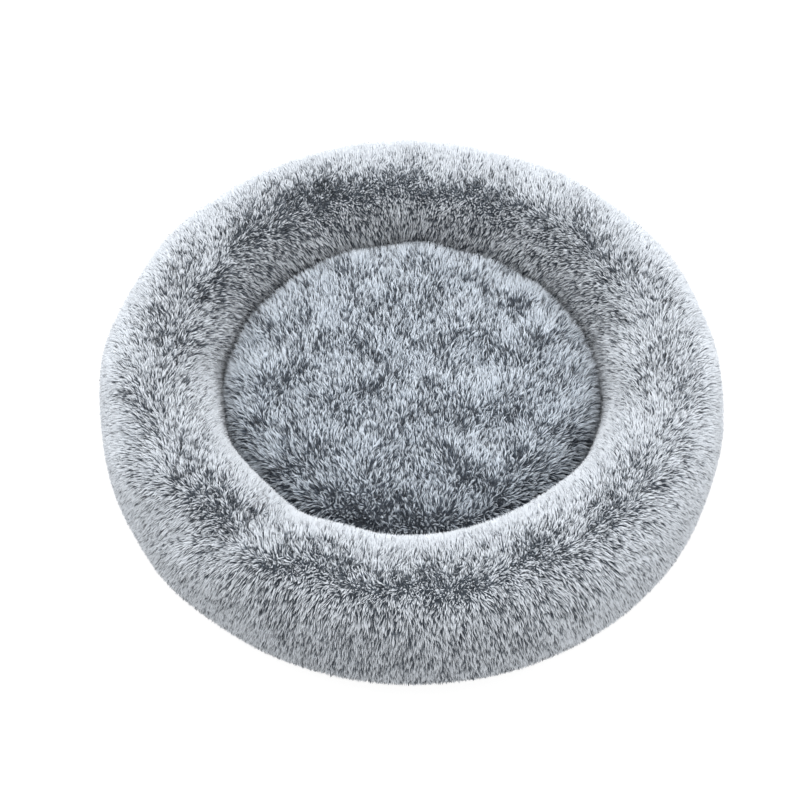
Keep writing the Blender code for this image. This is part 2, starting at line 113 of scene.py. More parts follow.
@dataclass(frozen=True)
class RimForm:
    """The stuffed ring's section and the way it bulges round the bed."""

    bed_radius: float = 0.455
    width: float = 0.170
    height: float = 0.224
    rounding: float = 0.82
    swell_start: float = 0.0216
    swell_rise: float = 0.060
    bulges: tuple[tuple[float, float], ...] = (
        (6.3, -0.0016), (12.5, -0.0032), (33.8, -0.0030), (59.1, -0.0011), (78.0, 0.0030), (82.0, 0.0050),
        (90.0, 0.0030), (105.0, 0.0012), (119.1, 0.0016), (128.5, -0.0014), (147.3, -0.0015), (177.5, -0.0014),
        (221.4, 0.0022), (253.9, -0.0015), (268.4, -0.0027), (279.6, 0.0004), (303.7, 0.0021), (329.6, 0.0007),
    )
    bulge_blend: tuple[float, ...] = (-8, -4, 0, 4, 8)
    lump: float = 0.0022
    lump_length: float = 0.17
    lump_seed: int = 11
    lump_reach: float = 0.09

    @property
    def ring_radius(self) -> float:
        """Return the radius of the ring's centre line."""
        return self.bed_radius - self.width / 2

    def section(self, turns: ndarray, inset: float, floor: float) -> tuple[ndarray, ndarray]:
        """Return the section's radii and heights.

        Args:
            turns: angles in the section, from the outer side towards the top.
            inset: how far the curve is drawn in from the fur's tips.
            floor: the height of the curve's lowest point.

        Returns:
            The radii and the heights.
        """
        half_width = self.width / 2 - inset
        half_height = (self.height - inset - floor) / 2
        radii = self.ring_radius + half_width * eased(np.cos(turns), self.rounding)
        heights = floor + half_height + half_height * eased(np.sin(turns), self.rounding)
        return radii, heights

    def turn_at(self, height: float, inset: float, floor: float) -> float:
        """Find where the section's outer side passes a height.

        Args:
            height: the height.
            inset: how far the curve is drawn in.
            floor: the curve's lowest height.

        Returns:
            The turn there.
        """
        half_height = (self.height - inset - floor) / 2
        share = (height - floor - half_height) / half_height
        return math.asin(math.copysign(abs(share) ** (1 / self.rounding), share))

    def growth(self, azimuths: ndarray, turns: ndarray) -> ndarray:
        """Work out how far the stuffing pushes the cover out, lumps included.

        Args:
            azimuths: angles round the bed.
            turns: angles in the section.

        Returns:
            A distance for each pair of angles.
        """
        degrees = np.degrees(azimuths) % 360
        at, push = zip(*self.bulges)
        grown = np.mean([np.interp(degrees + step, at, push, period=360) for step in self.bulge_blend], axis=0)
        middle = turned(self.ring_radius, azimuths, 0.0)
        wander = middle + self.lump_reach * np.stack([np.cos(turns), np.sin(turns), np.sin(turns)], axis=1)
        return grown + self.lump * Ripple(self.lump_seed, self.lump_length).at(wander)

    def points(self, azimuths: ndarray, turns: ndarray, inset: float, floor: float) -> ndarray:
        """Return a grid of points on the stuffed ring.

        Args:
            azimuths: angles round the bed, one for each row.
            turns: angles in the section, one for each column.
            inset: how far below the fur's tips the points lie.
            floor: the height of the section's lowest point.

        Returns:
            Rows by columns of points.
        """
        across, section = (values.ravel() for values in np.meshgrid(azimuths, turns, indexing="ij"))
        radii, heights = self.section(section, inset, floor)
        rise = smooth((heights - self.swell_start) / self.swell_rise)
        grown = self.growth(across, section) * rise
        radii = radii + grown * (radii - self.ring_radius) / (self.width / 2)
        heights = heights + grown * np.clip(np.sin(section), 0, 1)
        return turned(radii, across, heights).reshape(len(azimuths), len(turns), 3)


class Held(Enum):
    """How a sheet of cloth is held."""

    STRETCHED = "stretched"
    LAID = "laid"
    HUNG = "hung"


def settle(piece: Object, body: str, node: str) -> Object:
    """Let a piece ride on its body and take its node's place, and log how many faces it has.

    Args:
        piece: the object.
        body: the moving body that carries it.
        node: the solid that it stands for.

    Returns:
        The same object.
    """
    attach(piece, body)
    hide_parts(node)
    LOG.info("%s: %d faces", piece.name, len(piece.data.polygons))
    return piece


def link_mesh(name: str, points: ndarray, loops: ndarray, starts: ndarray, finish: Material) -> Object:
    """Make an object from corners and from the corner numbers of its faces.

    Args:
        name: the object's name.
        points: the corners.
        loops: the corner numbers of one face after another.
        starts: where each face starts among them.
        finish: its material.

    Returns:
        The object.
    """
    mesh = bpy.data.meshes.new(name)
    mesh.vertices.add(points.size // 3)
    mesh.vertices.foreach_set("co", points.astype(np.float32).ravel())
    mesh.loops.add(loops.size)
    mesh.loops.foreach_set("vertex_index", loops.astype(np.int32).ravel())
    mesh.polygons.add(starts.size)
    mesh.polygons.foreach_set("loop_start", starts.astype(np.int32).ravel())
    mesh.update(calc_edges=True)
    mesh.shade_smooth()
    mesh.materials.append(finish)
    made = bpy.data.objects.new(name, mesh)
    bpy.context.scene.collection.objects.link(made)
    return made


def lay_out(piece: Object, layer: str, places: ndarray) -> None:
    """Write where each corner of each face lies on the flat cloth, or along and across its hair's colours."""
    piece.data.uv_layers.new(name=layer).data.foreach_set("uv", places.astype(np.float32).ravel())


def make_piece(name: str, points: ndarray, faces: ndarray, finish: Material, cut: ndarray | None = None) -> Object:
    """Make an object whose faces have three or four corners each.

    Args:
        name: the object's name.
        points: the corners.
        faces: the corner numbers of each face.
        finish: its material.
        cut: a place on the flat cloth for each corner of each face, in metres.

    Returns:
        The object.
    """
    made = link_mesh(name, points, faces, np.arange(0, faces.size, faces.shape[1]), finish)
    made.data.set_sharp_from_angle(angle=SHARP_FOLD)
    if cut is not None:
        lay_out(made, "Cut", cut)
    return made


def grid_faces(rows: int, columns: int, ring: bool, tube: bool) -> ndarray:
    """Return the row and column of each corner of a grid's faces.

    Args:
        rows: how many rows of points.
        columns: how many points in each row.
        ring: whether the last row joins the first.
        tube: whether the last column joins the first.

    Returns:
        Faces by four corners by row and column, not yet wrapped round.
    """
    along, over = np.meshgrid(
        np.arange(rows if ring else rows - 1), np.arange(columns if tube else columns - 1), indexing="ij"
    )
    row, column = along.ravel(), over.ravel()
    corners = [(row, column), (row + 1, column), (row + 1, column + 1), (row, column + 1)]
    return np.stack([np.stack(corner, axis=1) for corner in corners], axis=1)


def numbered(corners: ndarray, rows: int, columns: int) -> ndarray:
    """Turn rows and columns into corner numbers, wrapped round a ring or a tube."""
    return corners[..., 0] % rows * columns + corners[..., 1] % columns


def copies(faces: ndarray, count: int, size: int) -> ndarray:
    """Repeat a form's faces for many copies of it, each of the same number of points."""
    return (np.arange(count)[:, None, None] * size + faces).reshape(-1, faces.shape[1])


@dataclass
class Cloth:
    """A grid of points that stands for a sheet of cloth, or for a closed body where it has no thickness."""

    grid: ndarray
    thickness: float = 0.0
    ring: bool = False
    tube: bool = False
    seam_share: float = 0.02

    def slope(self, axis: int, closed: bool) -> ndarray:
        """Work out the way from each point's neighbour on one side to the one on the other.

        Args:
            axis: 0 across the rows or 1 across the columns.
            closed: whether the grid closes that way.

        Returns:
            A vector for each point.
        """
        if closed:
            return np.roll(self.grid, -1, axis=axis) - np.roll(self.grid, 1, axis=axis)
        return np.gradient(self.grid, axis=axis)

    def normals(self) -> ndarray:
        """Return the way that each point faces."""
        return unit(np.cross(self.slope(0, self.ring), self.slope(1, self.tube)))

    def lengths(self, axis: int) -> ndarray:
        """Measure how far along the cloth each row or column lies.

        Args:
            axis: 0 for the rows or 1 for the columns.

        Returns:
            The distances, with one more that closes a ring.
        """
        closed = np.concatenate([self.grid, np.take(self.grid, [0], axis=axis)], axis=axis)
        steps = np.linalg.norm(np.diff(closed, axis=axis), axis=2).mean(axis=1 - axis)
        return np.concatenate([[0.0], np.cumsum(steps)])

    def piece(self, name: str, finish: Material) -> Object:
        """Make the object, with a back and edges where the cloth has a thickness.

        Args:
            name: the piece's name.
            finish: its material.

        Returns:
            The object.
        """
        rows, columns = self.grid.shape[:2]
        corners = grid_faces(rows, columns, self.ring, self.tube)
        points = self.grid.reshape(-1, 3)
        layers = np.zeros(corners.shape[:2], int)
        if self.thickness:
            points = np.concatenate([points, points - self.normals().reshape(-1, 3) * self.thickness])
            edges = (
                (corners[:, 0, 1] == 0, 1, 0),
                (corners[:, 2, 1] == columns - 1, 3, 2),
                ((corners[:, 0, 0] == 0) & (not self.ring), 0, 3),
                ((corners[:, 1, 0] == rows - 1) & (not self.ring), 2, 1),
            )
            wall = np.concatenate([corners[wanted][:, [start, stop, stop, start]] for wanted, start, stop in edges])
            wall_layers = np.tile(np.array([0, 0, 1, 1]), (len(wall), 1))
            layers = np.concatenate([layers, np.ones_like(layers), wall_layers])
            corners = np.concatenate([corners, corners[:, ::-1], wall])
        faces = numbered(corners, rows, columns) + layers * rows * columns
        cut = np.stack([self.lengths(0)[corners[:, :, 0]], self.lengths(1)[corners[:, :, 1]]], axis=2)
        return make_piece(name, points, faces, finish, cut)

    def declare(
        self, piece: Object, held: Held, rests_on: list[str], trims: list[Object], round_cut: bool = False
    ) -> None:
        """Work out the cloth's area, less its seams, and its longest and widest runs, and keep none of them.

        Args:
            piece: the object made from the cloth; not used.
            held: how it is held; not used.
            rests_on: what it lies on or hangs from; not used.
            trims: the separate pieces on it; not used.
            round_cut: whether the cloth is a disc, whose grid runs from its middle to its edge; not used.
        """
        rows, columns = self.grid.shape[:2]
        faces = numbered(grid_faces(rows, columns, self.ring, self.tube), rows, columns)
        a, b, c, d = (self.grid.reshape(-1, 3)[faces[:, corner]] for corner in range(4))
        area = float(np.linalg.norm(np.cross(c - a, d - b), axis=1).sum() / 2)
        closed = np.concatenate([self.grid, self.grid[:1]]) if self.ring else self.grid
        longest = float(np.linalg.norm(np.diff(closed, axis=0), axis=2).sum(axis=0).max())
        widest = float(np.linalg.norm(np.diff(self.grid, axis=1), axis=2).sum(axis=1).max())
        area *= 1 - self.seam_share


def tube_grid(path: ndarray, upright: ndarray, radii: ndarray, sides: int) -> ndarray:
    """Return rings of points round a path.

    Args:
        path: the middle line, points by three, or many such lines at once.
        upright: a way across the line at each point.
        radii: the tube's radius at each point.
        sides: how many points in each ring.

    Returns:
        The rings, counted against the clock when seen from the path's end.
    """
    ahead = unit(np.gradient(path, axis=-2))
    across = unit(np.cross(ahead, upright))
    over = np.cross(across, ahead)
    turns = -np.arange(sides) * TURN / sides
    spokes = across[..., None, :] * np.cos(turns)[:, None] + over[..., None, :] * np.sin(turns)[:, None]
    return path[..., None, :] + spokes * radii[..., None, None]


@dataclass(frozen=True)
class Stitching:
    """A row of lock stitches, each a short arch of thread whose ends sink into the cloth."""

    pitch: float = 0.0040
    length: float = 0.0031
    thickness: float = 0.0006
    arch: tuple[float, ...] = (-1.2, 0.2, 0.6, 0.2, -1.2)
    taper: tuple[float, ...] = (0.5, 0.9, 1.0, 0.9, 0.5)
    sides: int = 5

    def piece(self, name: str, path: ndarray, upright: ndarray, finish: Material) -> Object:
        """Sew stitches along a line.

        Args:
            name: the piece's name.
            path: the line's points.
            upright: the way out of the cloth at each point.
            finish: the thread's material.

        Returns:
            The object.
        """
        along = np.concatenate([[0.0], np.cumsum(np.linalg.norm(np.diff(path, axis=0), axis=1))])
        count, steps = int(along[-1] / self.pitch), len(self.arch)
        at = ((np.arange(count) + 0.5) * self.pitch)[:, None] + np.linspace(-0.5, 0.5, steps) * self.length
        middle, out = (
            np.stack([np.interp(at, along, values[:, axis]) for axis in range(3)], axis=2)
            for values in (path, upright)
        )
        out = unit(out)
        radius = self.thickness / 2
        middle = middle + out * (radius * np.array(self.arch)[:, None])
        radii = np.tile(radius * np.array(self.taper), (count, 1))
        rings = tube_grid(middle, out, radii, self.sides)
        faces = numbered(grid_faces(steps, self.sides, False, True), steps, self.sides)
        return make_piece(name, rings.reshape(-1, 3), copies(faces, count, steps * self.sides), finish)


class Skin:
    """A surface of triangles, on which fur grows."""

    def __init__(self, points: ndarray, triangles: ndarray, naps: ndarray | None = None) -> None:
        """Keep the surface and work out its normals.

        Args:
            points: the corners.
            triangles: three corner numbers for each face, counted against the clock from outside.
            naps: the way that the cloth's nap runs at each corner, where it has one.
        """
        self.points = points
        self.triangles = triangles
        self.naps = np.zeros_like(points) if naps is None else naps
        self.reach = np.ones(len(points))
        a, b, c = (points[triangles[:, corner]] for corner in range(3))
        facing = np.cross(b - a, c - a)
        self.areas = np.linalg.norm(facing, axis=1) / 2
        normals = np.zeros_like(points)
        for corner in range(3):
            np.add.at(normals, triangles[:, corner], facing)
        self.normals = unit(normals)

    @classmethod
    def from_grid(cls, grid: ndarray) -> "Skin":
        """Make a skin from rows of points.

        Args:
            grid: rows by columns of points, with the rows' way crossed into the columns' way pointing out.

        Returns:
            The skin, whose nap runs from the last column to the first.
        """
        rows, columns = grid.shape[:2]
        a, b, c, d = numbered(grid_faces(rows, columns, False, False), rows, columns).T
        triangles = np.stack([a, b, c, a, c, d], axis=1).reshape(-1, 3)
        return cls(grid.reshape(-1, 3), triangles, unit(-np.gradient(grid, axis=1)).reshape(-1, 3))

    def radii(self) -> ndarray:
        """Return how far each corner is from the bed's middle line."""
        return np.hypot(self.points[:, 0], self.points[:, 1])

    def scatter(self, count: int, rng: Generator, worth: ndarray) -> "Roots":
        """Spread places over the skin.

        Args:
            count: how many places.
            rng: the random source.
            worth: how dense the places are at each corner, as a share.

        Returns:
            The places, with the skin's normals and nap there.
        """
        steps = np.cumsum(self.areas * worth[self.triangles].mean(axis=1))
        draws = (np.arange(count) + rng.random(count)) / count * steps[-1]
        chosen = self.triangles[np.minimum(np.searchsorted(steps, draws), len(steps) - 1)]
        first, second = rng.random((2, count, 1))
        root = np.sqrt(first)
        shares = (1 - root, root * (1 - second), root * second)
        places, normals, naps, reach = (
            sum(values[chosen[:, k]] * shares[k] for k in range(3))
            for values in (self.points, self.normals, self.naps, self.reach[:, None])
        )
        return Roots(places, unit(normals), unit(naps), reach)


@dataclass
class Roots:
    """Where hairs start, with the cloth's normals, its nap and the share of the pile's length there."""

    places: ndarray
    normals: ndarray
    naps: ndarray
    reach: ndarray

    def outwards(self) -> ndarray:
        """Return how far each place faces away from the bed's middle."""
        return (self.normals * unit(self.places * LEVEL)).sum(axis=1)


@dataclass
class Strands:
    """Tapered hairs: the lines they follow, their broad way, how pale each one is, which holds their painted shade
    as well as their tone, and how they take the light.
    """

    lines: ndarray
    sides: ndarray
    tints: ndarray
    shades: ndarray

    WIDTHS = (0.75, 1.0)
    ALONG = np.array([0.0, 0.52, 1.0])
    LOOPS = np.array([0, 1, 3, 2, 2, 3, 4])
    STARTS = np.array([0, 4])
    STEP = np.array([0, 0, 1, 1, 1, 1, 2])
    ACROSS = np.array([-1, 1, 1, -1, -1, 1, 0]) * 0.004
    MARGIN = 0.01

    def sectors(self, count: int) -> ndarray:
        """Return the number of the sector, of so many round the bed, in which each hair starts."""
        return (around(self.lines[:, 0]) // (TURN / count)).astype(int)

    def piece(self, name: str, chosen: ndarray, finish: Material) -> Object:
        """Make an object of some of the hairs, each of them one face of four corners and one of three.

        Args:
            name: the piece's name.
            chosen: which hairs.
            finish: their material.

        Returns:
            The object.
        """
        lines, sides = self.lines[chosen], self.sides[chosen]
        count = len(lines)
        corners = np.empty((count, 5, 3), np.float32)
        for step, width in enumerate(self.WIDTHS):
            corners[:, 2 * step] = lines[:, step] - sides * width
            corners[:, 2 * step + 1] = lines[:, step] + sides * width
        corners[:, 4] = lines[:, 2]
        numbers = np.arange(count)[:, None]
        made = link_mesh(name, corners, numbers * 5 + self.LOOPS, numbers * 7 + self.STARTS, finish)
        places = np.empty((count, 7, 2), np.float32)
        places[:, :, 0] = self.tints[chosen][:, None] * (1 - 2 * self.MARGIN) + self.MARGIN + self.ACROSS
        places[:, :, 1] = self.ALONG[self.STEP] * (1 - 2 * self.MARGIN) + self.MARGIN
        lay_out(made, "OFBake", places)
        made.data.normals_split_custom_set_from_vertices(np.repeat(self.shades[chosen], 5, axis=0))
        return made


@dataclass(frozen=True)
class Pile:
    """How a long fur stands on its backing, and which of its hairs stay dark to the tip: mostly painted shade, set
    by how the fur faces, and partly the fur's own tone.
    """

    length: float = 0.0120
    length_spread: float = 0.08
    half_width: float = 0.00044
    droop: float = 0.60
    inner_droop: float = 0.15
    nap: float = 0.20
    brush: float = 0.16
    swirl: float = 0.10
    swirl_length: float = 0.075
    ruffle: float = 0.16
    ruffle_length: float = 0.016
    wall_looseness: float = 0.25
    lock_size: int = 4
    tip_width: float = 0.20
    lock_lean: float = 0.20
    lock_hold: float = 0.86
    lock_spread: float = 0.14
    tuft_size: int = 8
    tuft_hold: float = 0.06
    stray: float = 0.12
    veil: float = 0.14
    veil_hold: float = 0.25
    veil_width: float = 0.7
    lowest: float = 0.0008
    lowest_spread: float = 0.0030
    inward: float = 0.34
    # Shares of dark locks and dark hairs by how the fur faces the front: these dark hairs are painted shade.
    facing: tuple[float, ...] = (-1.0, -0.7, -0.4, -0.1, 0.15, 0.30, 0.50, 0.68)
    dark_and_painted_shade_locks: tuple[float, ...] = (0.28, 0.05, 0.01, 0.01, 0.06, 0.13, 0.15, 0.39)
    painted_shade_hairs: tuple[float, ...] = (0.15, 0.04, 0.01, 0.02, 0.04, 0.08, 0.09, 0.22)
    # How much of that painted shade each side of the ring gets, and how much soft patches change it.
    painted_shade_around: tuple[float, ...] = (1.05, 0.0, 1.7, 0.65)
    dark_patches: float = 0.6
    patch_length: float = 0.06
    # Share of locks painted dark where the fur faces down: painted shade.
    painted_low_shade: float = 0.50
    veil_tint: float = 0.64
    dark_tint: float = 0.06
    pale_tint: float = 0.68
    tint_spread: float = 0.08
    tint_patches: float = 0.04
    seed: int = 5

    STEPS = (0.52, 0.48)
    BEND_START = 0.35

    def lean(self, roots: Roots, rng: Generator, loose: float) -> ndarray:
        """Return the way that hairs lean, in the plane of the backing.

        Args:
            roots: where the hairs start.
            rng: the random source.
            loose: how far each hair leans its own way.

        Returns:
            One vector for each hair, as a share of standing upright.
        """
        down = roots.normals * roots.normals[:, 2:] - np.array([0, 0, 1])
        outer = smooth(0.5 + 0.9 * roots.outwards()[:, None])
        ways = self.nap * outer * roots.naps
        ways += (self.inner_droop + (self.droop - self.inner_droop) * outer) * down
        ways[:, 1] += self.brush * np.clip(roots.normals[:, 2], 0, 1)
        loosened = self.wall_looseness + (1 - self.wall_looseness) * np.clip(roots.normals[:, 2:], 0, 1)
        ways += self.swirl * loosened * ripple_vectors(self.seed + 31, self.swirl_length, roots.places)
        ways += self.ruffle * loosened * ripple_vectors(self.seed + 61, self.ruffle_length, roots.places)
        ways += loose * np.maximum(loosened, 0.5) * rng.normal(size=ways.shape)
        return ways - (ways * roots.normals).sum(axis=1, keepdims=True) * roots.normals

    def follow(self, roots: Roots, rng: Generator, loose: float) -> ndarray:
        """Draw each hair's line, which bends over towards its tip.

        Args:
            roots: where the hairs start.
            rng: the random source.
            loose: how far each hair leans its own way.

        Returns:
            Three points for each hair.
        """
        leans = self.lean(roots, rng, loose)
        spread = 1 + self.length_spread * rng.normal(size=(len(leans), 1))
        lengths = self.length * roots.reach * np.clip(spread, 0.55, 1.35)
        line = [roots.places]
        reached = 0.0
        for step in self.STEPS:
            way = unit(roots.normals + leans * (self.BEND_START + (reached + step / 2)))
            line.append(line[-1] + way * lengths * step)
            reached += step
        return np.stack(line, axis=1)

    def nearest(self, lines: ndarray, guides: ndarray) -> ndarray:
        """Find the guide whose root is nearest to each line's.

        Args:
            lines: the hairs' lines.
            guides: the guides' lines.

        Returns:
            The guide's number for each line.
        """
        tree = KDTree(len(guides))
        for number, root in enumerate(guides[:, 0]):
            tree.insert(root, number)
        tree.balance()
        return np.array([tree.find(root)[1] for root in lines[:, 0]])

    def gather(self, lines: ndarray, guides: ndarray, hold: ndarray) -> ndarray:
        """Draw hairs together into locks.

        Args:
            lines: the hairs' own lines.
            guides: the line of the middle of each hair's lock.
            hold: how strongly each hair is drawn to its lock.

        Returns:
            The gathered lines.
        """
        apart = (lines[:, 0] - guides[:, 0])[:, None, :]
        narrowing = np.array([1.0, (1 + self.tip_width) / 2, self.tip_width])[None, :, None]
        pull = np.array([0.0, 0.8, 1.0])[None, :, None] * hold[:, None, None]
        return lines + (guides + apart * narrowing - lines) * pull

    def darken(self, roots: Roots, lock: ndarray, loose: ndarray, rng: Generator) -> ndarray:
        """Choose how pale each hair is. Hairs are made dark as painted shade by how the fur faces: most where it
        faces the front, the ring's middle or straight back, least on the sides and the lip, and where it faces down.
        On upward-facing fur this painted shade is scaled round the ring and by soft patches. The cushion's evenly
        spread dark locks, the random spread and the soft patches of tint are the fur's own tone.

        Args:
            roots: where the hairs start.
            lock: the number of each hair's lock.
            loose: which hairs belong to the veil of fine loose ones.
            rng: the random source.

        Returns:
            A tint for each hair, from 0, dark, to 1, pale.
        """
        count, upward = len(lock), roots.normals[:, 2]
        patches = Ripple(self.seed + 91, self.patch_length).at(roots.places)
        # How squarely the fur faces the front or the ring's middle, which sets how many hairs are painted dark as
        # painted shade.
        forward = 0.3 * upward - roots.normals[:, 1] - self.inward * roots.outwards()
        # On upward-facing fur the painted shade is scaled round the ring and by soft patches.
        share = np.interp(np.degrees(around(roots.places)), (0, 90, 180, 270), self.painted_shade_around, period=360)
        share = share * np.clip(1 + self.dark_patches * patches, 0.1, 2.5)
        share = 1 + (share - 1) * np.clip(1.6 * upward - 0.4, 0, 1)
        locked = share * np.interp(forward, self.facing, self.dark_and_painted_shade_locks)
        # Fur that faces down gets locks painted dark: painted shade.
        low = self.painted_low_shade * smooth(-upward / 0.4)
        dark = rng.random(count // self.lock_size)[lock] < np.maximum(locked, low)
        dark |= rng.random(count) < share * np.interp(forward, self.facing, self.painted_shade_hairs)
        tints = np.where(loose, self.veil_tint, np.where(dark, self.dark_tint, self.pale_tint))
        return np.clip(tints + self.tint_spread * rng.normal(size=count) + self.tint_patches * patches, 0, 1)

    def grow(self, skin: Skin, count: int, worth: ndarray) -> Strands:
        """Grow the fur on a skin.

        Args:
            skin: the backing's face.
            count: how many hairs.
            worth: how dense the fur is at each corner of the skin, as a share.

        Returns:
            The hairs.
        """
        rng = np.random.default_rng(self.seed)
        roots = skin.scatter(count, rng, worth)
        lock_count = count // self.lock_size
        tufts = self.follow(skin.scatter(lock_count // self.tuft_size, rng, worth), rng, self.lock_lean)
        locks = self.follow(skin.scatter(lock_count, rng, worth), rng, self.lock_lean)
        tuft_hold = self.tuft_hold * rng.uniform(0.4, 1.3, lock_count)
        locks = self.gather(locks, tufts[self.nearest(locks, tufts)], tuft_hold)
        lines = self.follow(roots, rng, self.stray)
        lock = self.nearest(lines, locks)
        hold = np.clip(self.lock_hold + self.lock_spread * rng.normal(size=count), 0, 1)
        wall = smooth((0.3 - roots.normals[:, 2]) / 0.6)
        loose = rng.random(count) < self.veil * (1 - wall)
        hold[loose] *= self.veil_hold
        lines = self.gather(lines, locks[lock], hold)
        height = self.lowest + self.lowest_spread * rng.random((count, 1))
        lines[:, :, 2] = np.maximum(lines[:, :, 2], height)
        ways = unit(lines[:, 2] - lines[:, 0])
        sides = unit(np.cross(ways, roots.normals + 0.8 * rng.normal(size=ways.shape)))
        facing = (np.cross(sides, ways) * (roots.normals + np.array([0, 0, 0.4]))).sum(axis=1, keepdims=True)
        sides = np.where(facing < 0, -sides, sides)
        shades = unit(0.5 * np.cross(sides, ways) + 0.85 * roots.normals)
        widths = self.half_width * rng.uniform(0.6, 1.25, (count, 1))
        sides = sides * widths * np.where(loose, self.veil_width, 1.0)[:, None]
        return Strands(lines, sides, self.darken(roots, lock, loose, rng), shades)


class Nodes:
    """A tree of shader nodes while it is put together."""

    def __init__(self, tree: NodeTree) -> None:
        """Keep the tree."""
        self.tree = tree

    def add(self, kind: str, **settings: object) -> Node:
        """Add a node.

        Args:
            kind: the node's type.
            **settings: its properties.

        Returns:
            The node.
        """
        node = self.tree.nodes.new(kind)
        for name, value in settings.items():
            setattr(node, name, value)
        return node

    def wire(self, source: NodeSocket, target: NodeSocket) -> None:
        """Link two sockets."""
        self.tree.links.new(source, target)

    def level(self, node: Node, **levels: object) -> None:
        """Set a node's sockets, named with a low dash for each space."""
        for name, value in levels.items():
            node.inputs[name.replace("_", " ")].default_value = value

    def ramp(self, level: NodeSocket, stops: Stops) -> NodeSocket:
        """Add a colour ramp.

        Args:
            level: what drives it.
            stops: places from 0 to 1 with their colours.

        Returns:
            Its colour.
        """
        node = self.add("ShaderNodeValToRGB")
        elements = node.color_ramp.elements
        while len(elements) < len(stops):
            elements.new(0.5)
        for element, (place, colour) in zip(elements, stops):
            element.position = place
            element.color = (*colour, 1)
        self.wire(level, node.inputs["Fac"])
        return node.outputs["Color"]

    def sum(self, operation: str, first: object, second: object, held: bool = False) -> NodeSocket:
        """Add a sum of two numbers or sockets.

        Args:
            operation: the kind of sum.
            first: a number or a socket.
            second: another one.
            held: whether the result is held between 0 and 1.

        Returns:
            The result.
        """
        node = self.add("ShaderNodeMath", operation=operation, use_clamp=held)
        for socket, value in zip(node.inputs, (first, second)):
            if isinstance(value, NodeSocket):
                self.wire(value, socket)
            else:
                socket.default_value = value
        return node.outputs[0]

    def seen(self) -> NodeSocket:
        """Tell the rays by which the scene is seen from those that light it.

        Returns:
            A level that is 1 for rays from the camera, from gloss and through glass.
        """
        path = self.add("ShaderNodeLightPath").outputs
        glossy = self.sum("ADD", path["Is Camera Ray"], path["Is Glossy Ray"], held=True)
        return self.sum("ADD", glossy, path["Is Transmission Ray"], held=True)


class Recipe(Nodes):
    """A material while it is put together."""

    def __init__(self, name: str, **levels: object) -> None:
        """Start a material.

        Args:
            name: its name.
            **levels: levels for the sockets of its shader.
        """
        self.material = bpy.data.materials.new(name)
        self.material.use_nodes = True
        super().__init__(self.material.node_tree)
        self.shader = self.tree.nodes["Principled BSDF"]
        self.level(self.shader, **levels)

    def cloud(self, scale: float, detail: float) -> NodeSocket:
        """Add soft noise that is fixed to the object.

        Args:
            scale: how fine it is.
            detail: how many finer layers it has.

        Returns:
            Its level.
        """
        node = self.add("ShaderNodeTexNoise")
        self.level(node, Scale=scale, Detail=detail)
        self.wire(self.add("ShaderNodeTexCoord").outputs["Object"], node.inputs["Vector"])
        return node.outputs["Fac"]

    def relief(self, height: NodeSocket, depth: float) -> None:
        """Raise the surface.

        Args:
            height: the level that raises it.
            depth: how far a level of 1 raises it, in metres.
        """
        bump = self.add("ShaderNodeBump")
        self.level(bump, Distance=depth)
        self.wire(height, bump.inputs["Height"])
        self.wire(bump.outputs["Normal"], self.shader.inputs["Normal"])


@dataclass(frozen=True)
class FurFinish:
    """Frosted fur: dark roots, slate middles and near-white tips."""

    name: str
    stops: Stops
    frost_shift: float = 1.50
    dark_share: float = 0.80
    roughness: float = 0.62
    gloss: float = 0.25
    sheen: float = 0.30

    @cache
    def material(self) -> Material:
        """Make the material from how far along its hair a point is, and how pale that hair is, which carries the
        hair's painted shade as well as its tone.

        Returns:
            The material.
        """
        recipe = Recipe(
            self.name, Roughness=self.roughness, Specular_IOR_Level=self.gloss, Sheen_Weight=self.sheen,
            Sheen_Roughness=0.5,
        )
        split = recipe.add("ShaderNodeSeparateXYZ")
        recipe.wire(recipe.add("ShaderNodeUVMap", uv_map="OFBake").outputs["UV"], split.inputs[0])
        tint = recipe.sum("SUBTRACT", split.outputs["X"], 0.5)
        frost = recipe.sum("ADD", split.outputs["Y"], recipe.sum("MULTIPLY", tint, self.frost_shift))
        light = recipe.sum("MULTIPLY", tint, 2 * (1 - self.dark_share))
        mix = recipe.add("ShaderNodeMix", data_type="RGBA", blend_type="MULTIPLY")
        recipe.level(mix, Factor=1)
        recipe.wire(recipe.ramp(frost, self.stops), mix.inputs["A"])
        recipe.wire(recipe.sum("ADD", light, (1 + self.dark_share) / 2), mix.inputs["B"])
        recipe.wire(mix.outputs["Result"], recipe.shader.inputs["Base Color"])
        return recipe.material


@dataclass(frozen=True)
class WovenFinish:
    """Woven cloth: threads over and under, with a little change of colour."""

    name: str
    colour: Colour
    gap: Colour
    pitch: float = 0.0009
    roughness: float = 0.85
    depth: float = 0.00015
    twill: bool = False
    sheen: float = 0.15

    WAVE_SCALE = 0.314

    @cache
    def material(self) -> Material:
        """Make the material.

        Returns:
            The material, whose threads follow the cloth's cut.
        """
        recipe = Recipe(self.name, Roughness=self.roughness, Sheen_Weight=self.sheen)
        place = recipe.add("ShaderNodeUVMap", uv_map="Cut").outputs["UV"]
        waves = []
        for way, share in (("DIAGONAL", 1.0), ("DIAGONAL", 0.5)) if self.twill else (("X", 1.0), ("Y", 1.0)):
            wave = recipe.add("ShaderNodeTexWave", wave_type="BANDS", bands_direction=way)
            recipe.level(wave, Scale=self.WAVE_SCALE / self.pitch * share, Distortion=0.4, Detail=1)
            recipe.wire(place, wave.inputs["Vector"])
            waves.append(wave.outputs["Fac"])
        threads = recipe.sum("MULTIPLY", *waves)
        level = recipe.sum("ADD", threads, recipe.sum("MULTIPLY", recipe.cloud(25, 6), 0.35))
        recipe.wire(recipe.ramp(level, ((0.1, self.gap), (0.9, self.colour))), recipe.shader.inputs["Base Color"])
        recipe.relief(threads, self.depth)
        return recipe.material


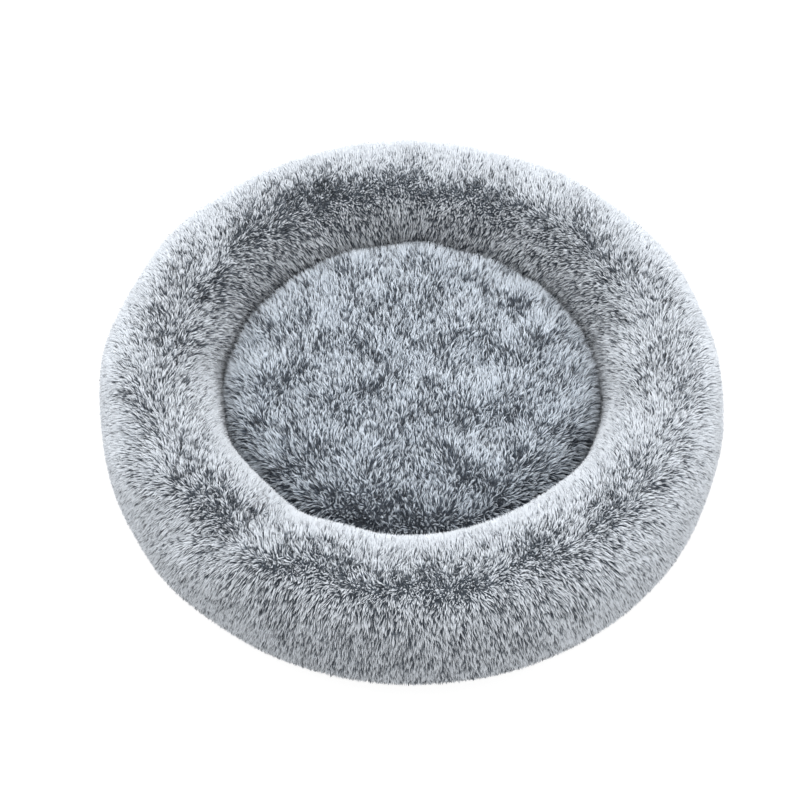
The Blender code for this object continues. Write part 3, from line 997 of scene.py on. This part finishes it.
@dataclass(frozen=True)
class CloudyFinish:
    """A surface whose colour and relief change in small soft patches: fibre, rubber, nylon or metal."""

    name: str
    colour: Colour
    second: Colour
    scale: float = 90
    roughness: float = 0.8
    depth: float = 0.0004
    metallic: float = 0.0
    sheen: float = 0.0

    @cache
    def material(self) -> Material:
        """Make the material.

        Returns:
            The material, whose patches are fixed to the object.
        """
        recipe = Recipe(self.name, Metallic=self.metallic, Sheen_Weight=self.sheen)
        cloud = recipe.cloud(self.scale, 8)
        recipe.wire(recipe.ramp(cloud, ((0.3, self.second), (0.7, self.colour))), recipe.shader.inputs["Base Color"])
        rough = recipe.sum("ADD", recipe.sum("MULTIPLY", cloud, 0.2), self.roughness - 0.1)
        recipe.wire(rough, recipe.shader.inputs["Roughness"])
        recipe.relief(cloud, self.depth)
        return recipe.material


FUR_BACKING = WovenFinish("fur_backing", (0.100, 0.120, 0.145), (0.050, 0.062, 0.078), pitch=0.0012)
LINER_CLOTH = WovenFinish("liner_cloth", (0.72, 0.73, 0.74), (0.48, 0.49, 0.50), pitch=0.0010)
BASE_CLOTH = WovenFinish("base_cloth", (0.075, 0.085, 0.100), (0.020, 0.024, 0.030), pitch=0.0014)
NEST_CLOTH = WovenFinish("nest_cloth", (0.22, 0.24, 0.27), (0.10, 0.11, 0.13), pitch=0.0010)
CUSHION_CLOTH = WovenFinish("cushion_cloth", (0.13, 0.15, 0.18), (0.045, 0.052, 0.064), pitch=0.0010)
TAPE_CLOTH = WovenFinish("tape_cloth", (0.085, 0.095, 0.112), (0.030, 0.035, 0.042), pitch=0.0008, twill=True)
LABEL_CLOTH = WovenFinish("label_cloth", (0.88, 0.88, 0.86), (0.72, 0.72, 0.70), pitch=0.0004, roughness=0.45)
THREAD = CloudyFinish("thread", (0.20, 0.22, 0.25), (0.12, 0.13, 0.15), scale=900, depth=0.0001, sheen=0.3)
FIBRE = CloudyFinish("fibre", (0.90, 0.90, 0.89), (0.74, 0.75, 0.76), scale=140, depth=0.0030, sheen=0.4)
GRIP_RUBBER = CloudyFinish("grip_rubber", (0.030, 0.032, 0.036), (0.018, 0.019, 0.022), scale=500, roughness=0.7)
COIL_NYLON = CloudyFinish("coil_nylon", (0.075, 0.083, 0.098), (0.050, 0.056, 0.068), scale=700, roughness=0.4)
NICKEL = CloudyFinish(
    "nickel", (0.66, 0.67, 0.69), (0.52, 0.53, 0.55), scale=900, roughness=0.32, depth=0.00004, metallic=1.0
)
RIM_FUR = FurFinish(
    "rim_fur",
    (
        (0.0, (0.046, 0.058, 0.076)),
        (0.28, (0.125, 0.150, 0.185)),
        (0.46, (0.38, 0.42, 0.47)),
        (0.64, (0.67, 0.71, 0.76)),
        (0.86, (0.74, 0.78, 0.83)),
    ),
)
CUSHION_FUR = FurFinish(
    "cushion_fur",
    (
        (0.0, (0.040, 0.054, 0.076)),
        (0.28, (0.105, 0.132, 0.170)),
        (0.46, (0.31, 0.365, 0.43)),
        (0.64, (0.60, 0.665, 0.74)),
        (0.86, (0.69, 0.75, 0.82)),
    ),
)


@dataclass
class RimCover:
    """The ring's fur cover, made of four gores."""

    form: RimForm
    pile: Pile
    hairs: int = 560000
    cover_depth: float = 0.0205
    base_thickness: float = 0.0015
    root_depth: float = 0.0092
    hem: float = 0.0100
    inner_hem: float = 0.0045
    inner_growth: float = 0.45
    growth_top: float = 0.165
    growth_blend: float = 0.05
    hidden_height: float = 0.095
    hidden_share: float = 0.4
    under_share: float = 0.4
    gore_gap: float = 0.0004
    parts: str = "abcd"

    def face(self, azimuths: ndarray, columns: int) -> ndarray:
        """Shape the backing's face, from the outer hem over the top to the inner one.

        Args:
            azimuths: angles round the bed, one for each row.
            columns: how many points in each row.

        Returns:
            Rows by columns of points.
        """
        start = self.form.turn_at(self.hem, self.cover_depth, self.base_thickness)
        stop = math.pi - self.form.turn_at(self.inner_hem, self.cover_depth, self.base_thickness)
        return self.form.points(azimuths, np.linspace(start, stop, columns), self.root_depth, self.base_thickness)

    def grow(self) -> Strands:
        """Grow the fur all the way round, longer inside and thinner where the base or the cushion hides it.

        Returns:
            The hairs.
        """
        skin = Skin.from_grid(self.face(np.linspace(0, TURN, 361), 121))
        heights = skin.points[:, 2]
        inner = skin.radii() < self.form.ring_radius
        skin.reach = 1 + self.inner_growth * inner * smooth((self.growth_top - heights) / self.growth_blend)
        worth = np.where(inner & (heights < self.hidden_height), self.hidden_share, 1.0)
        worth = worth * (1 - (1 - self.under_share) * smooth((-skin.normals[:, 2] - 0.05) / 0.5))
        return self.pile.grow(skin, self.hairs, worth)

    def build(self) -> None:
        """Share the fur out among the gores, and make each gore's backing."""
        strands = self.grow()
        sectors = strands.sectors(len(SIDES) * len(self.parts))
        fur_finish, cloth_finish = RIM_FUR.material(), FUR_BACKING.material()
        for quarter, side in enumerate(SIDES):
            node = f"rim_cover_{side}"
            fur = []
            for number, part in enumerate(self.parts, quarter * len(self.parts)):
                piece = strands.piece(f"rim_fur_{side}_{part}", sectors == number, fur_finish)
                fur.append(settle(piece, "bed", node))
            start = quarter * QUARTER
            azimuths = np.linspace(start + self.gore_gap, start + QUARTER - self.gore_gap, 61)
            cloth = Cloth(self.face(azimuths, 61), self.cover_depth - self.root_depth)
            piece = settle(cloth.piece(f"rim_backing_{side}", cloth_finish), "bed", node)
            cloth.declare(piece, Held.STRETCHED, ["bolster_liner_top", "bolster_liner_bottom"], fur)


@dataclass(frozen=True)
class Swelling:
    """A cloth simulation in which stuffing swells a closed cover."""

    voxel: float = 0.006
    pressure: float = 4.0
    frames: int = 20
    reach: float = 0.004

    def swell(self, points: ndarray, faces: ndarray) -> tuple[ndarray, ndarray]:
        """Remesh a closed form evenly, let the pressure swell it, and hold each corner near where it was.

        Args:
            points: the form's corners.
            faces: four corner numbers for each face.

        Returns:
            The new corners and faces of four corners.
        """
        cover = make_piece("swelling_cover", points, faces, bpy.data.materials.new("swelling_cover"))
        remesh = cover.modifiers.new("even", "REMESH")
        remesh.mode = "VOXEL"
        remesh.voxel_size = self.voxel
        even = bpy.data.meshes.new_from_object(cover.evaluated_get(bpy.context.evaluated_depsgraph_get()))
        cover.modifiers.clear()
        cover.data = even
        before = self.corners(even)
        cloth = cover.modifiers.new("stuffed", "CLOTH")
        cloth.settings.use_pressure = True
        cloth.settings.uniform_pressure_force = self.pressure
        cloth.settings.effector_weights.gravity = 0
        cloth.point_cache.frame_start = 1
        cloth.point_cache.frame_end = self.frames
        scene = bpy.context.scene
        for number in range(1, self.frames + 1):
            scene.frame_set(number)
        swollen = cover.evaluated_get(bpy.context.evaluated_depsgraph_get())
        step = self.corners(swollen.data) - before
        scene.frame_set(1)
        far = np.linalg.norm(step, axis=1, keepdims=True)
        step *= np.minimum(far, self.reach) / np.maximum(far, 1e-9)
        loops = np.empty(len(even.loops), np.int32)
        even.loops.foreach_get("vertex_index", loops)
        bpy.data.objects.remove(cover)
        return before + step, loops.reshape(-1, 4)

    def corners(self, mesh: Mesh) -> ndarray:
        """Read a mesh's corners.

        Args:
            mesh: the mesh.

        Returns:
            The corners.
        """
        values = np.empty(len(mesh.vertices) * 3, np.float32)
        mesh.vertices.foreach_get("co", values)
        return values.reshape(-1, 3).astype(float)


@dataclass
class Cushion:
    """The loose round cushion in the nest."""

    swelling: Swelling
    pile: Pile
    radius: float = 0.2905
    top: float = 0.1690
    waist: float = 0.085
    seam: float = 0.045
    floor: float = 0.0041
    side_share: float = 0.31
    crown_share: float = 0.42
    base_share: float = 0.30
    cover_depth: float = 0.0205
    backing: float = 0.0010
    clearance: float = 0.0003
    start_inset: float = 0.0030
    rows: int = 160
    lump: float = 0.0030
    lump_length: float = 0.11
    hairs: int = 130000
    edge_growth: float = 0.30
    edge_start: float = 0.20
    edge_blend: float = 0.06
    hidden_share: float = 0.35
    cord_radius: float = 0.0011
    stitch_drop: float = 0.003
    disc_share: float = 0.785
    seam_share: float = 0.02
    stuffed: float = 0.75

    def form(self, inset: float) -> tuple[ndarray, ndarray]:
        """Return the closed form inside the fur, drawn in by an inset.

        Args:
            inset: how far the form is drawn in from the backing's face.

        Returns:
            The corners and the faces.
        """
        turns = np.concatenate(
            [[-QUARTER + 0.001, -1.4, -1.2], np.linspace(-1.0, 0.25, 34), np.linspace(0.25, QUARTER - 0.002, 40)[1:]]
        )
        depth = self.cover_depth - self.backing + inset
        radii = (self.radius - depth) * eased(np.cos(turns), self.side_share)
        radii[[0, -1]] = 0.0001
        upper = self.waist + (self.top - depth - self.waist) * eased(np.sin(turns), self.crown_share)
        lower = self.waist + (self.waist - self.floor - inset) * eased(np.sin(turns), self.base_share)
        azimuths = np.arange(self.rows)[:, None] * TURN / self.rows
        points = turned(radii, azimuths, np.where(turns >= 0, upper, lower)).reshape(-1, 3)
        lumps = Ripple(71, self.lump_length).at(points)
        points[:, 2] += self.lump * lumps * smooth((points[:, 2] - 0.10) / 0.03)
        return points, numbered(grid_faces(self.rows, len(turns), True, False), self.rows, len(turns))

    def halves(self, points: ndarray, faces: ndarray) -> list[Skin]:
        """Cut the swollen cover along its seam.

        Args:
            points: the cover's corners.
            faces: its faces.

        Returns:
            The part above the seam and the part below it.
        """
        cut = bmesh.new()
        corners = [cut.verts.new(point) for point in points]
        for face in faces:
            cut.faces.new([corners[number] for number in face])
        everything = cut.verts[:] + cut.edges[:] + cut.faces[:]
        bmesh.ops.bisect_plane(cut, geom=everything, plane_co=(0, 0, self.seam), plane_no=(0, 0, 1))
        bmesh.ops.triangulate(cut, faces=cut.faces[:])
        cut.verts.index_update()
        places = np.array([corner.co[:] for corner in cut.verts])
        triangles = np.array([[corner.index for corner in face.verts] for face in cut.faces])
        cut.free()
        over = places[triangles][:, :, 2].mean(axis=1) > self.seam
        halves = []
        for chosen in (triangles[over], triangles[~over]):
            used, numbers = np.unique(chosen, return_inverse=True)
            halves.append(Skin(places[used], numbers.reshape(chosen.shape)))
        return halves

    def panel(self, name: str, half: Skin, finish: Material) -> Object:
        """Make one half of the cover as cloth with a thickness.

        Args:
            name: the piece's name.
            half: its outer face.
            finish: the cloth's material.

        Returns:
            The object.
        """
        triangles, count = half.triangles, len(half.points)
        sides = np.concatenate([triangles[:, [0, 1]], triangles[:, [1, 2]], triangles[:, [2, 0]]])
        keys = np.sort(sides, axis=1) @ np.array([count, 1])
        _, first, uses = np.unique(keys, return_index=True, return_counts=True)
        rim = sides[first[uses == 1]]
        wall = (rim[:, [1, 0, 0]] + np.array([0, 0, count]), rim[:, [1, 0, 1]] + np.array([0, count, count]))
        faces = np.concatenate([triangles, triangles[:, ::-1] + count, *wall])
        points = np.concatenate([half.points, half.points - half.normals * self.backing])
        return make_piece(name, points, faces, finish, points[faces][:, :, :2])

    def seam_line(self, half: Skin) -> ndarray:
        """Find where the two halves meet.

        Args:
            half: one half's outer face.

        Returns:
            The points in order, with the first one again at the end.
        """
        edge = half.points[np.abs(half.points[:, 2] - self.seam) < 1e-6]
        azimuths = np.linspace(0, TURN, 361)
        radii = np.interp(azimuths, around(edge), np.hypot(edge[:, 0], edge[:, 1]), period=TURN)
        return turned(radii, azimuths, self.seam)

    def fur(self, half: Skin) -> list[Object]:
        """Grow the cushion's fur on the upper half of its cover.

        Args:
            half: that half's outer face.

        Returns:
            The pieces of fur.
        """
        worth = np.where(half.points[:, 2] < self.waist, self.hidden_share, 1.0)
        half.reach = 1 + self.edge_growth * smooth((half.radii() - self.edge_start) / self.edge_blend)
        strands = self.pile.grow(half, self.hairs, worth)
        sectors = strands.sectors(len(SIDES))
        made = []
        for number, side in enumerate(SIDES):
            piece = strands.piece(f"cushion_fur_{side}", sectors == number, CUSHION_FUR.material())
            made.append(settle(piece, "cushion", "cushion_top_panel"))
        return made

    def build(self) -> None:
        """Swell the cushion, then make its cover, its fur, its seam and its fibre."""
        points, faces = self.swelling.swell(*self.form(self.start_inset))
        points[:, 2] = np.maximum(points[:, 2], self.floor)
        upper, lower = self.halves(points, faces)
        cloth, thread = CUSHION_CLOTH.material(), THREAD.material()
        top = self.panel("cushion_backing", upper, cloth)
        settle(top, "cushion", "cushion_top_panel")
        fur = self.fur(upper)
        base = self.panel("cushion_base_cloth", lower, cloth)
        line = self.seam_line(upper)
        cord = tube_grid(line[:-1], np.array([0, 0, 1.0]), np.full(len(line) - 1, self.cord_radius), 8)
        piping = Cloth(cord, ring=True, tube=True).piece("cushion_seam_cord", thread)
        drop = np.array([0, 0, self.stitch_drop])
        stitches = Stitching().piece("cushion_stitches", line - drop, unit(line * LEVEL), thread)
        for piece in (base, piping, stitches):
            settle(piece, "cushion", "cushion_base_panel")
        sheets = ((top, upper, "cushion_fill", fur), (base, lower, "nest_floor", [piping, stitches]))
        for piece, half, under, trims in sheets:
            area = float(half.areas.sum())
            area *= 1 - self.seam_share
        whole = Skin(points, np.concatenate([faces[:, :3], faces[:, [0, 2, 3]]]))
        inside = points - whole.normals * (self.backing + self.clearance)
        filling = make_piece("cushion_fibre", inside, faces, FIBRE.material())
        settle(filling, "cushion", "cushion_fill")


@dataclass(frozen=True)
class Edge:
    """The slanted band round the bed's lower edge, where the base, the zip and the gores meet."""

    form: RimForm
    slant: float = math.radians(41)
    clearance: float = 0.0003
    cover_depth: float = 0.0205
    base_thickness: float = 0.0015
    height: float = 0.0088
    tape_width: float = 0.0070
    tape_lap: float = 0.0040
    tape_thickness: float = 0.0008
    coil_width: float = 0.0056

    @property
    def back(self) -> float:
        """Work out how far out the base's turned-up edge starts.

        Returns:
            The distance along the band's normal.
        """
        turns = np.arange(20) * TURN / 20
        inset, floor = self.cover_depth + self.clearance, self.base_thickness + self.clearance
        radii, heights = self.form.section(turns, inset, floor)
        reach = radii * math.cos(self.slant) - heights * math.sin(self.slant)
        return float(reach.max()) + self.clearance

    @property
    def face(self) -> float:
        """Return how far out the base's turned-up edge ends."""
        return self.back + self.base_thickness

    @property
    def tape_back(self) -> float:
        """Return how far out the zip's tapes start."""
        return self.face + self.clearance

    @property
    def tape_middle(self) -> float:
        """Return how far out the tapes' middle lies."""
        return self.tape_back + self.tape_thickness / 2

    @property
    def tape_face(self) -> float:
        """Return how far out the tapes end."""
        return self.tape_middle + self.tape_thickness / 2

    @property
    def coil_middle(self) -> float:
        """Return how far up the band the coil's middle line lies."""
        lower = self.along_at(self.height, self.tape_middle) - self.tape_lap + self.tape_width
        return lower + self.clearance + self.coil_width / 2

    def along_at(self, height: float, normal: float) -> float:
        """Return how far up the band a height lies."""
        return (height + normal * math.sin(self.slant)) / math.cos(self.slant)

    def section(self, along: ndarray | float, normal: ndarray | float) -> tuple[ndarray, ndarray]:
        """Turn places on the band into the bed's section.

        Args:
            along: how far up the band they lie.
            normal: how far out they lie.

        Returns:
            The radii and the heights.
        """
        radii = normal * math.cos(self.slant) + along * math.sin(self.slant)
        heights = along * math.cos(self.slant) - normal * math.sin(self.slant)
        return radii, heights

    def sew(self, name: str, azimuths: ndarray, along: float, normal: float) -> Object:
        """Sew stitches along the band.

        Args:
            name: the piece's name.
            azimuths: angles round the bed.
            along: how far up the band the stitches lie.
            normal: how far out they lie.

        Returns:
            The object.
        """
        radius, height = self.section(along, normal)
        out = turned(math.cos(self.slant), azimuths, -math.sin(self.slant))
        return Stitching().piece(name, turned(radius, azimuths, height), out, THREAD.material())


@dataclass
class Bolster:
    """The ring's inner bag, in two panels, and the fibre in it."""

    form: RimForm
    face: float = 0.0208
    floor: float = 0.0018
    thickness: float = 0.0010
    fibre_inset: float = 0.0221
    fibre_floor: float = 0.0031
    dent: float = 0.0010
    dent_spread: float = 0.0005
    dent_length: float = 0.035
    half_gap: float = 0.002
    stuffed: float = 0.85
    rows: int = 240
    columns: int = 61

    def build(self) -> None:
        """Make the two panels, the seam's stitches and the fibre."""
        azimuths = np.arange(self.rows) * TURN / self.rows
        for name, start in (("top", self.half_gap), ("bottom", math.pi + self.half_gap)):
            turns = np.linspace(start, start + math.pi - 2 * self.half_gap, self.columns)
            panel = Cloth(self.form.points(azimuths, turns, self.face, self.floor), self.thickness, ring=True)
            node = f"bolster_liner_{name}"
            piece = settle(panel.piece(f"liner_{name}_cloth", LINER_CLOTH.material()), "bed", node)
            line, out = (np.concatenate([grid[:, 2], grid[:1, 2]]) for grid in (panel.grid, panel.normals()))
            stitches = Stitching().piece(f"liner_{name}_stitches", line, out, THREAD.material())
            panel.declare(piece, Held.STRETCHED, ["bolster_fill"], [settle(stitches, "bed", node)])
        turns = np.arange(self.columns) * TURN / self.columns
        body = Cloth(self.form.points(azimuths, turns, self.fibre_inset, self.fibre_floor), ring=True, tube=True)
        lumps = np.clip(Ripple(41, self.dent_length).at(body.grid), -1.8, 1.8)
        body.grid = body.grid - body.normals() * (self.dent + self.dent_spread * lumps)[..., None]
        filling = settle(body.piece("bolster_fibre", FIBRE.material()), "bed", "bolster_fill")


@dataclass
class Base:
    """The non-slip base with its turned-up edge, and the lining of the nest."""

    edge: Edge
    rows: int = 360
    sole: float = 0.0004
    stitch_drop: float = 0.0018
    dot_pitch: float = 0.0150
    dot_radius: float = 0.0024
    dot_reach: float = 0.395
    dot_form: tuple[tuple[float, float], ...] = ((1.0, 0.0005), (0.92, 0.00014), (0.6, 0.00002), (0.08, 0.0))
    dot_sides: int = 10
    nest_top: float = 0.0036
    nest_thickness: float = 0.0014
    nest_gap: float = 0.0006
    inner_hem: float = 0.0041

    def panel(self) -> Cloth:
        """Shape the base's cloth, from its middle out and up its edge.

        Returns:
            The cloth.
        """
        edge = self.edge
        foot, _ = edge.section(edge.along_at(self.sole, edge.face), edge.face)
        flat = np.concatenate([[0.0003, 0.05], np.linspace(0.1, foot - 0.004, 24)])
        slope = np.linspace(edge.along_at(self.sole + 0.0006, edge.face), edge.along_at(edge.height, edge.face), 7)
        radii, heights = edge.section(slope, edge.face)
        radii = np.concatenate([flat, radii])
        heights = np.concatenate([np.full(len(flat), self.sole), heights])
        azimuths = np.arange(self.rows)[:, None] * TURN / self.rows
        return Cloth(turned(radii, azimuths, heights), edge.base_thickness - self.sole, ring=True)

    def dots(self) -> Object:
        """Print rubber dots under the base.

        Returns:
            The object.
        """
        steps = np.arange(-30, 31)
        column, row = (values.ravel() for values in np.meshgrid(steps, steps))
        middles = np.stack([column + 0.5 * (row % 2), row * 0.866, 0 * row], axis=1) * self.dot_pitch
        middles = middles[np.hypot(middles[:, 0], middles[:, 1]) < self.dot_reach]
        turns = -np.arange(self.dot_sides) * TURN / self.dot_sides
        shares, heights = np.array(self.dot_form).T[:, :, None]
        points = middles[:, None, None] + turned(shares * self.dot_radius, turns, heights)
        rings = len(self.dot_form)
        faces = numbered(grid_faces(rings, self.dot_sides, False, True), rings, self.dot_sides)[:, ::-1]
        faces = copies(faces, len(middles), rings * self.dot_sides)
        return make_piece("base_grip_dots", points.reshape(-1, 3), faces, GRIP_RUBBER.material())

    def build(self) -> None:
        """Make the base, its dots and stitches, and the nest's lining."""
        edge = self.edge
        panel = self.panel()
        piece = panel.piece("base_cloth", BASE_CLOTH.material())
        sewn = edge.along_at(edge.height - self.stitch_drop, edge.face)
        trims = [self.dots(), edge.sew("base_edge_stitches", np.linspace(0, TURN, 721), sewn, edge.face)]
        for made in (piece, *trims):
            settle(made, "bed", "base_panel")
        panel.declare(piece, Held.LAID, ["bolster_liner_bottom"], trims, round_cut=True)
        radius = 0.0
        for inset, floor in ((0.0, 0.0), (edge.cover_depth, edge.base_thickness)):
            turn = math.pi - edge.form.turn_at(self.inner_hem, inset, floor)
            radius += float(edge.form.section(turn, inset, floor)[0]) / 2
        azimuths = np.arange(180)[:, None] * TURN / 180
        grid = turned(np.linspace(radius - self.nest_gap, 0.0003, 40), azimuths, self.nest_top)
        grid[:, :, 2] += 0.00012 * Ripple(51, 0.05).at(grid)
        lining = Cloth(grid, self.nest_thickness, ring=True)
        piece = settle(lining.piece("nest_lining", NEST_CLOTH.material()), "bed", "nest_floor")
        lining.declare(piece, Held.LAID, ["base_panel"], [], round_cut=True)


@dataclass
class Zip:
    """The zip round the back of the lower edge."""

    edge: Edge
    end_margin: float = 0.0030
    coil_inset: float = 0.0040
    stop_length: float = 0.0030
    coil_thickness: float = 0.0024
    wire: float = 0.00034
    pitch: float = 0.0016
    bead: float = 0.00025
    bead_width: float = 0.0012
    row_overlap: float = 0.0002
    sewn: float = 0.0022

    def tape(self, low: float, top: float, start: float) -> Cloth:
        """Shape a tape on the band.

        Args:
            low: how far up the band its lower edge lies.
            top: how far up its upper edge lies.
            start: the azimuth at which it starts.

        Returns:
            The cloth.
        """
        along = np.array([low, low + self.bead_width, (low + top) / 2, top - self.bead_width, top])
        swell = np.array([self.bead, 0, 0, 0, self.bead])
        radii, heights = self.edge.section(along, self.edge.tape_face + swell)
        azimuths = np.linspace(start, math.pi - start, 361)[:, None]
        return Cloth(turned(radii, azimuths, heights), self.edge.tape_thickness)

    def coil(self, start: float, side: int, radius: float) -> Cloth:
        """Wind the wire of one of the coil's two rows.

        Args:
            start: the azimuth at which it starts.
            side: -1 for the lower row or 1 for the upper one.
            radius: how far out from the bed's middle the coil runs.

        Returns:
            The wound wire.
        """
        edge = self.edge
        arc = math.pi - 2 * start
        turns = int(arc * radius / self.pitch)
        share = np.linspace(0, 1, turns * 8 + 1)
        azimuths = start + share * arc
        angle = share * turns * TURN + (math.pi if side > 0 else 0)
        reach = edge.coil_width / 4 + self.row_overlap / 2 - self.wire
        along = edge.coil_middle + side * (edge.coil_width / 4 - self.row_overlap) + reach * np.cos(angle)
        normal = edge.tape_middle + (self.coil_thickness / 2 - self.wire) * np.sin(angle)
        radii, heights = edge.section(along, normal)
        path, travel = turned(radii, azimuths, heights), turned(1.0, azimuths + QUARTER, 0.0)
        return Cloth(tube_grid(path, travel, np.full(len(path), self.wire), 4), tube=True)

    def build(self) -> None:
        """Make the tapes, the coil and the stitches, and finish the metal parts."""
        edge = self.edge
        radius = float(edge.section(edge.coil_middle, edge.tape_middle)[0])
        start = self.end_margin / radius
        azimuths = np.linspace(start, math.pi - start, 721)
        rows = (("lower", -1), ("upper", 1))
        for name, side in rows:
            node = f"zip_tape_{name}"
            near = edge.coil_middle + side * (edge.coil_width / 2 + edge.clearance)
            low, top = sorted((near, near + side * edge.tape_width))
            tape = self.tape(low, top, start).piece(f"{node}_cloth", TAPE_CLOTH.material())
            stitches = edge.sew(f"{node}_stitches", azimuths, (low + top) / 2 + side * self.sewn, edge.tape_face)
            for piece in (tape, stitches):
                settle(piece, "bed", node)
        start += (self.coil_inset + self.stop_length + edge.clearance) / radius
        for name, side in rows:
            coil = self.coil(start, side, radius).piece(f"zip_coil_{name}_row", COIL_NYLON.material())
            settle(coil, "bed", "zip_coil")
        for node in ("zip_top_stop", "zip_bottom_stop", "zip_slider", "zip_pull"):
            for slot in bpy.data.objects[node].material_slots:
                slot.material = NICKEL.material()


@dataclass
class Label:
    """The blank care label in the base's seam."""

    edge: Edge
    width: float = 0.0250
    reach: float = 0.0120
    drop: float = 0.0045
    wave: float = 0.0003
    curl: float = 0.0006
    thickness: float = 0.0006
    azimuth: float = math.radians(-15)
    sewn_column: int = 14

    def build(self) -> None:
        """Make the label, curling a little, and its stitches."""
        edge = self.edge
        start, top = edge.section(edge.along_at(edge.height - self.thickness, edge.tape_back), edge.tape_back)
        share = np.linspace(1, 0, 17)
        across = np.linspace(-0.5, 0.5, 13)[:, None]
        out, side = start + self.reach * share, across * self.width
        heights = top - self.drop * share**1.4 + self.wave * np.sin(share * 5)
        heights = heights + self.curl * share * (2 * across) ** 2
        cosine, sine = math.cos(self.azimuth), math.sin(self.azimuth)
        grid = np.stack([out * cosine - side * sine, out * sine + side * cosine, heights], axis=2)
        label = Cloth(grid, self.thickness)
        piece = settle(label.piece("label_cloth", LABEL_CLOTH.material()), "bed", "care_label")
        line, ways = (grid[:, self.sewn_column] for grid in (label.grid, label.normals()))
        stitching = Stitching(pitch=0.0025, length=0.0018, thickness=0.0003)
        stitches = stitching.piece("label_stitches", line, ways, THREAD.material())
        label.declare(piece, Held.HUNG, ["base_panel"], [settle(stitches, "bed", "care_label")])


@dataclass(frozen=True)
class Studio:
    """The camera, the pale floor and the soft light."""

    elevation: float = 52.63
    distance: float = 2.2
    focal_pixels: float = 1481.8
    centre: tuple[float, float] = (411.5, 393.2)
    target: tuple[float, float, float] = (0.0, 0.0, 0.1)
    image: float = 800
    sensor: float = 36
    far: float = 50
    world_level: float = 0.84
    floor_albedo: float = 0.20
    floor_glow: float = 0.88
    floor_side: float = 6.0
    softboxes: tuple[tuple[str, tuple[float, float, float], float, float], ...] = (
        ("top_softbox", (-0.1, 0.0, 2.4), 2.0, 35.0),
        ("back_softbox", (0.0, 2.3, 1.5), 1.8, 15.0),
        ("front_softbox", (0.4, -2.4, 1.6), 1.4, 21.0),
        ("left_softbox", (-2.3, 0.3, 1.3), 1.4, 18.0),
        ("right_softbox", (2.3, 0.3, 1.3), 1.4, 17.0),
    )

    def stand(self, name: str, data: ID, place: Vector, aim: Vector) -> Object:
        """Stand a camera or a lamp at a place.

        Args:
            name: its name.
            data: the camera or the lamp itself.
            place: where it stands.
            aim: what it points at.

        Returns:
            The object.
        """
        made = bpy.data.objects.new(name, data)
        made.location = place
        made.rotation_euler = (aim - place).to_track_quat("-Z", "Y").to_euler()
        bpy.context.scene.collection.objects.link(made)
        return made

    def camera(self) -> None:
        """Set the camera where the photograph was taken from, aimed so that the bed sits as it does there."""
        lift = math.radians(self.elevation)
        ahead = Vector((0, math.cos(lift), -math.sin(lift)))
        up = Vector((0, math.sin(lift), math.cos(lift)))
        middle = Vector(self.target)
        scale = self.distance / self.focal_pixels
        left = (self.centre[0] - self.image / 2) * scale
        lower = (self.image / 2 - self.centre[1]) * scale
        data = bpy.data.cameras.new("photo_camera")
        data.sensor_width = self.sensor
        data.lens = self.focal_pixels * self.sensor / self.image
        data.clip_end = self.far
        aim = middle - Vector((left, 0, 0)) - up * lower
        bpy.context.scene.camera = self.stand("photo_camera", data, middle - ahead * self.distance, aim)

    def world(self) -> None:
        """Light the scene evenly, with a white background."""
        world = bpy.data.worlds.new("studio")
        world.use_nodes = True
        bpy.context.scene.world = world
        nodes = Nodes(world.node_tree)
        nodes.tree.nodes.clear()
        mix = nodes.add("ShaderNodeMixShader")
        nodes.wire(nodes.seen(), mix.inputs[0])
        for strength, target in zip((self.world_level, 1.0), mix.inputs[1:]):
            light = nodes.add("ShaderNodeBackground")
            nodes.level(light, Color=(1, 1, 1, 1), Strength=strength)
            nodes.wire(light.outputs[0], target)
        nodes.wire(mix.outputs[0], nodes.add("ShaderNodeOutputWorld").inputs["Surface"])

    def floor(self) -> None:
        """Lay the pale floor, which keeps the bed's shadow."""
        recipe = Recipe("studio_floor", Roughness=0.9, Specular_IOR_Level=0, Emission_Color=(1, 1, 1, 1))
        recipe.level(recipe.shader, Base_Color=(*(self.floor_albedo,) * 3, 1))
        glow = recipe.sum("MULTIPLY", recipe.seen(), self.floor_glow)
        recipe.wire(glow, recipe.shader.inputs["Emission Strength"])
        corners = self.floor_side * np.array([(-1, -1, 0), (1, -1, 0), (1, 1, 0), (-1, 1, 0)])
        link_mesh("studio_floor", corners, np.arange(4), np.zeros(1), recipe.material)

    def lamps(self) -> None:
        """Hang wide soft lamps above the bed, behind it and at its sides."""
        for name, place, size, energy in self.softboxes:
            data = bpy.data.lights.new(name, "AREA")
            data.shape = "SQUARE"
            data.size = size
            data.energy = energy
            self.stand(name, data, Vector(place), Vector(self.target))

    def build(self) -> None:
        """Set up the camera, the light and the floor."""
        self.camera()
        self.world()
        self.floor()
        self.lamps()
        bpy.context.scene.view_settings.view_transform = "Standard"


CUSHION_PILE = Pile(
    length=0.0135,
    half_width=0.00042,
    droop=0.1,
    nap=0.0,
    brush=0.18,
    swirl=0.04,
    ruffle=0.13,
    ruffle_length=0.015,
    lock_lean=0.26,
    # On the cushion the dark locks are spread evenly, as the fur's own tone, and the painted shade is the same all
    # round; its dark single hairs and its darker underside stay painted shade.
    dark_and_painted_shade_locks=(0.26,) * 8,
    painted_shade_around=(1.0,) * 4,
    seed=205,
)


def main() -> None:
    """Build the bed's pieces in order and report each one."""
    logging.basicConfig(level=logging.INFO, format="%(message)s")
    Studio().build()
    form = RimForm()
    edge = Edge(form)
    RimCover(form, Pile()).build()
    Bolster(form).build()
    Base(edge).build()
    Zip(edge).build()
    Label(edge).build()
    Cushion(Swelling(), CUSHION_PILE).build()


if __name__ == "__main__":
    main()
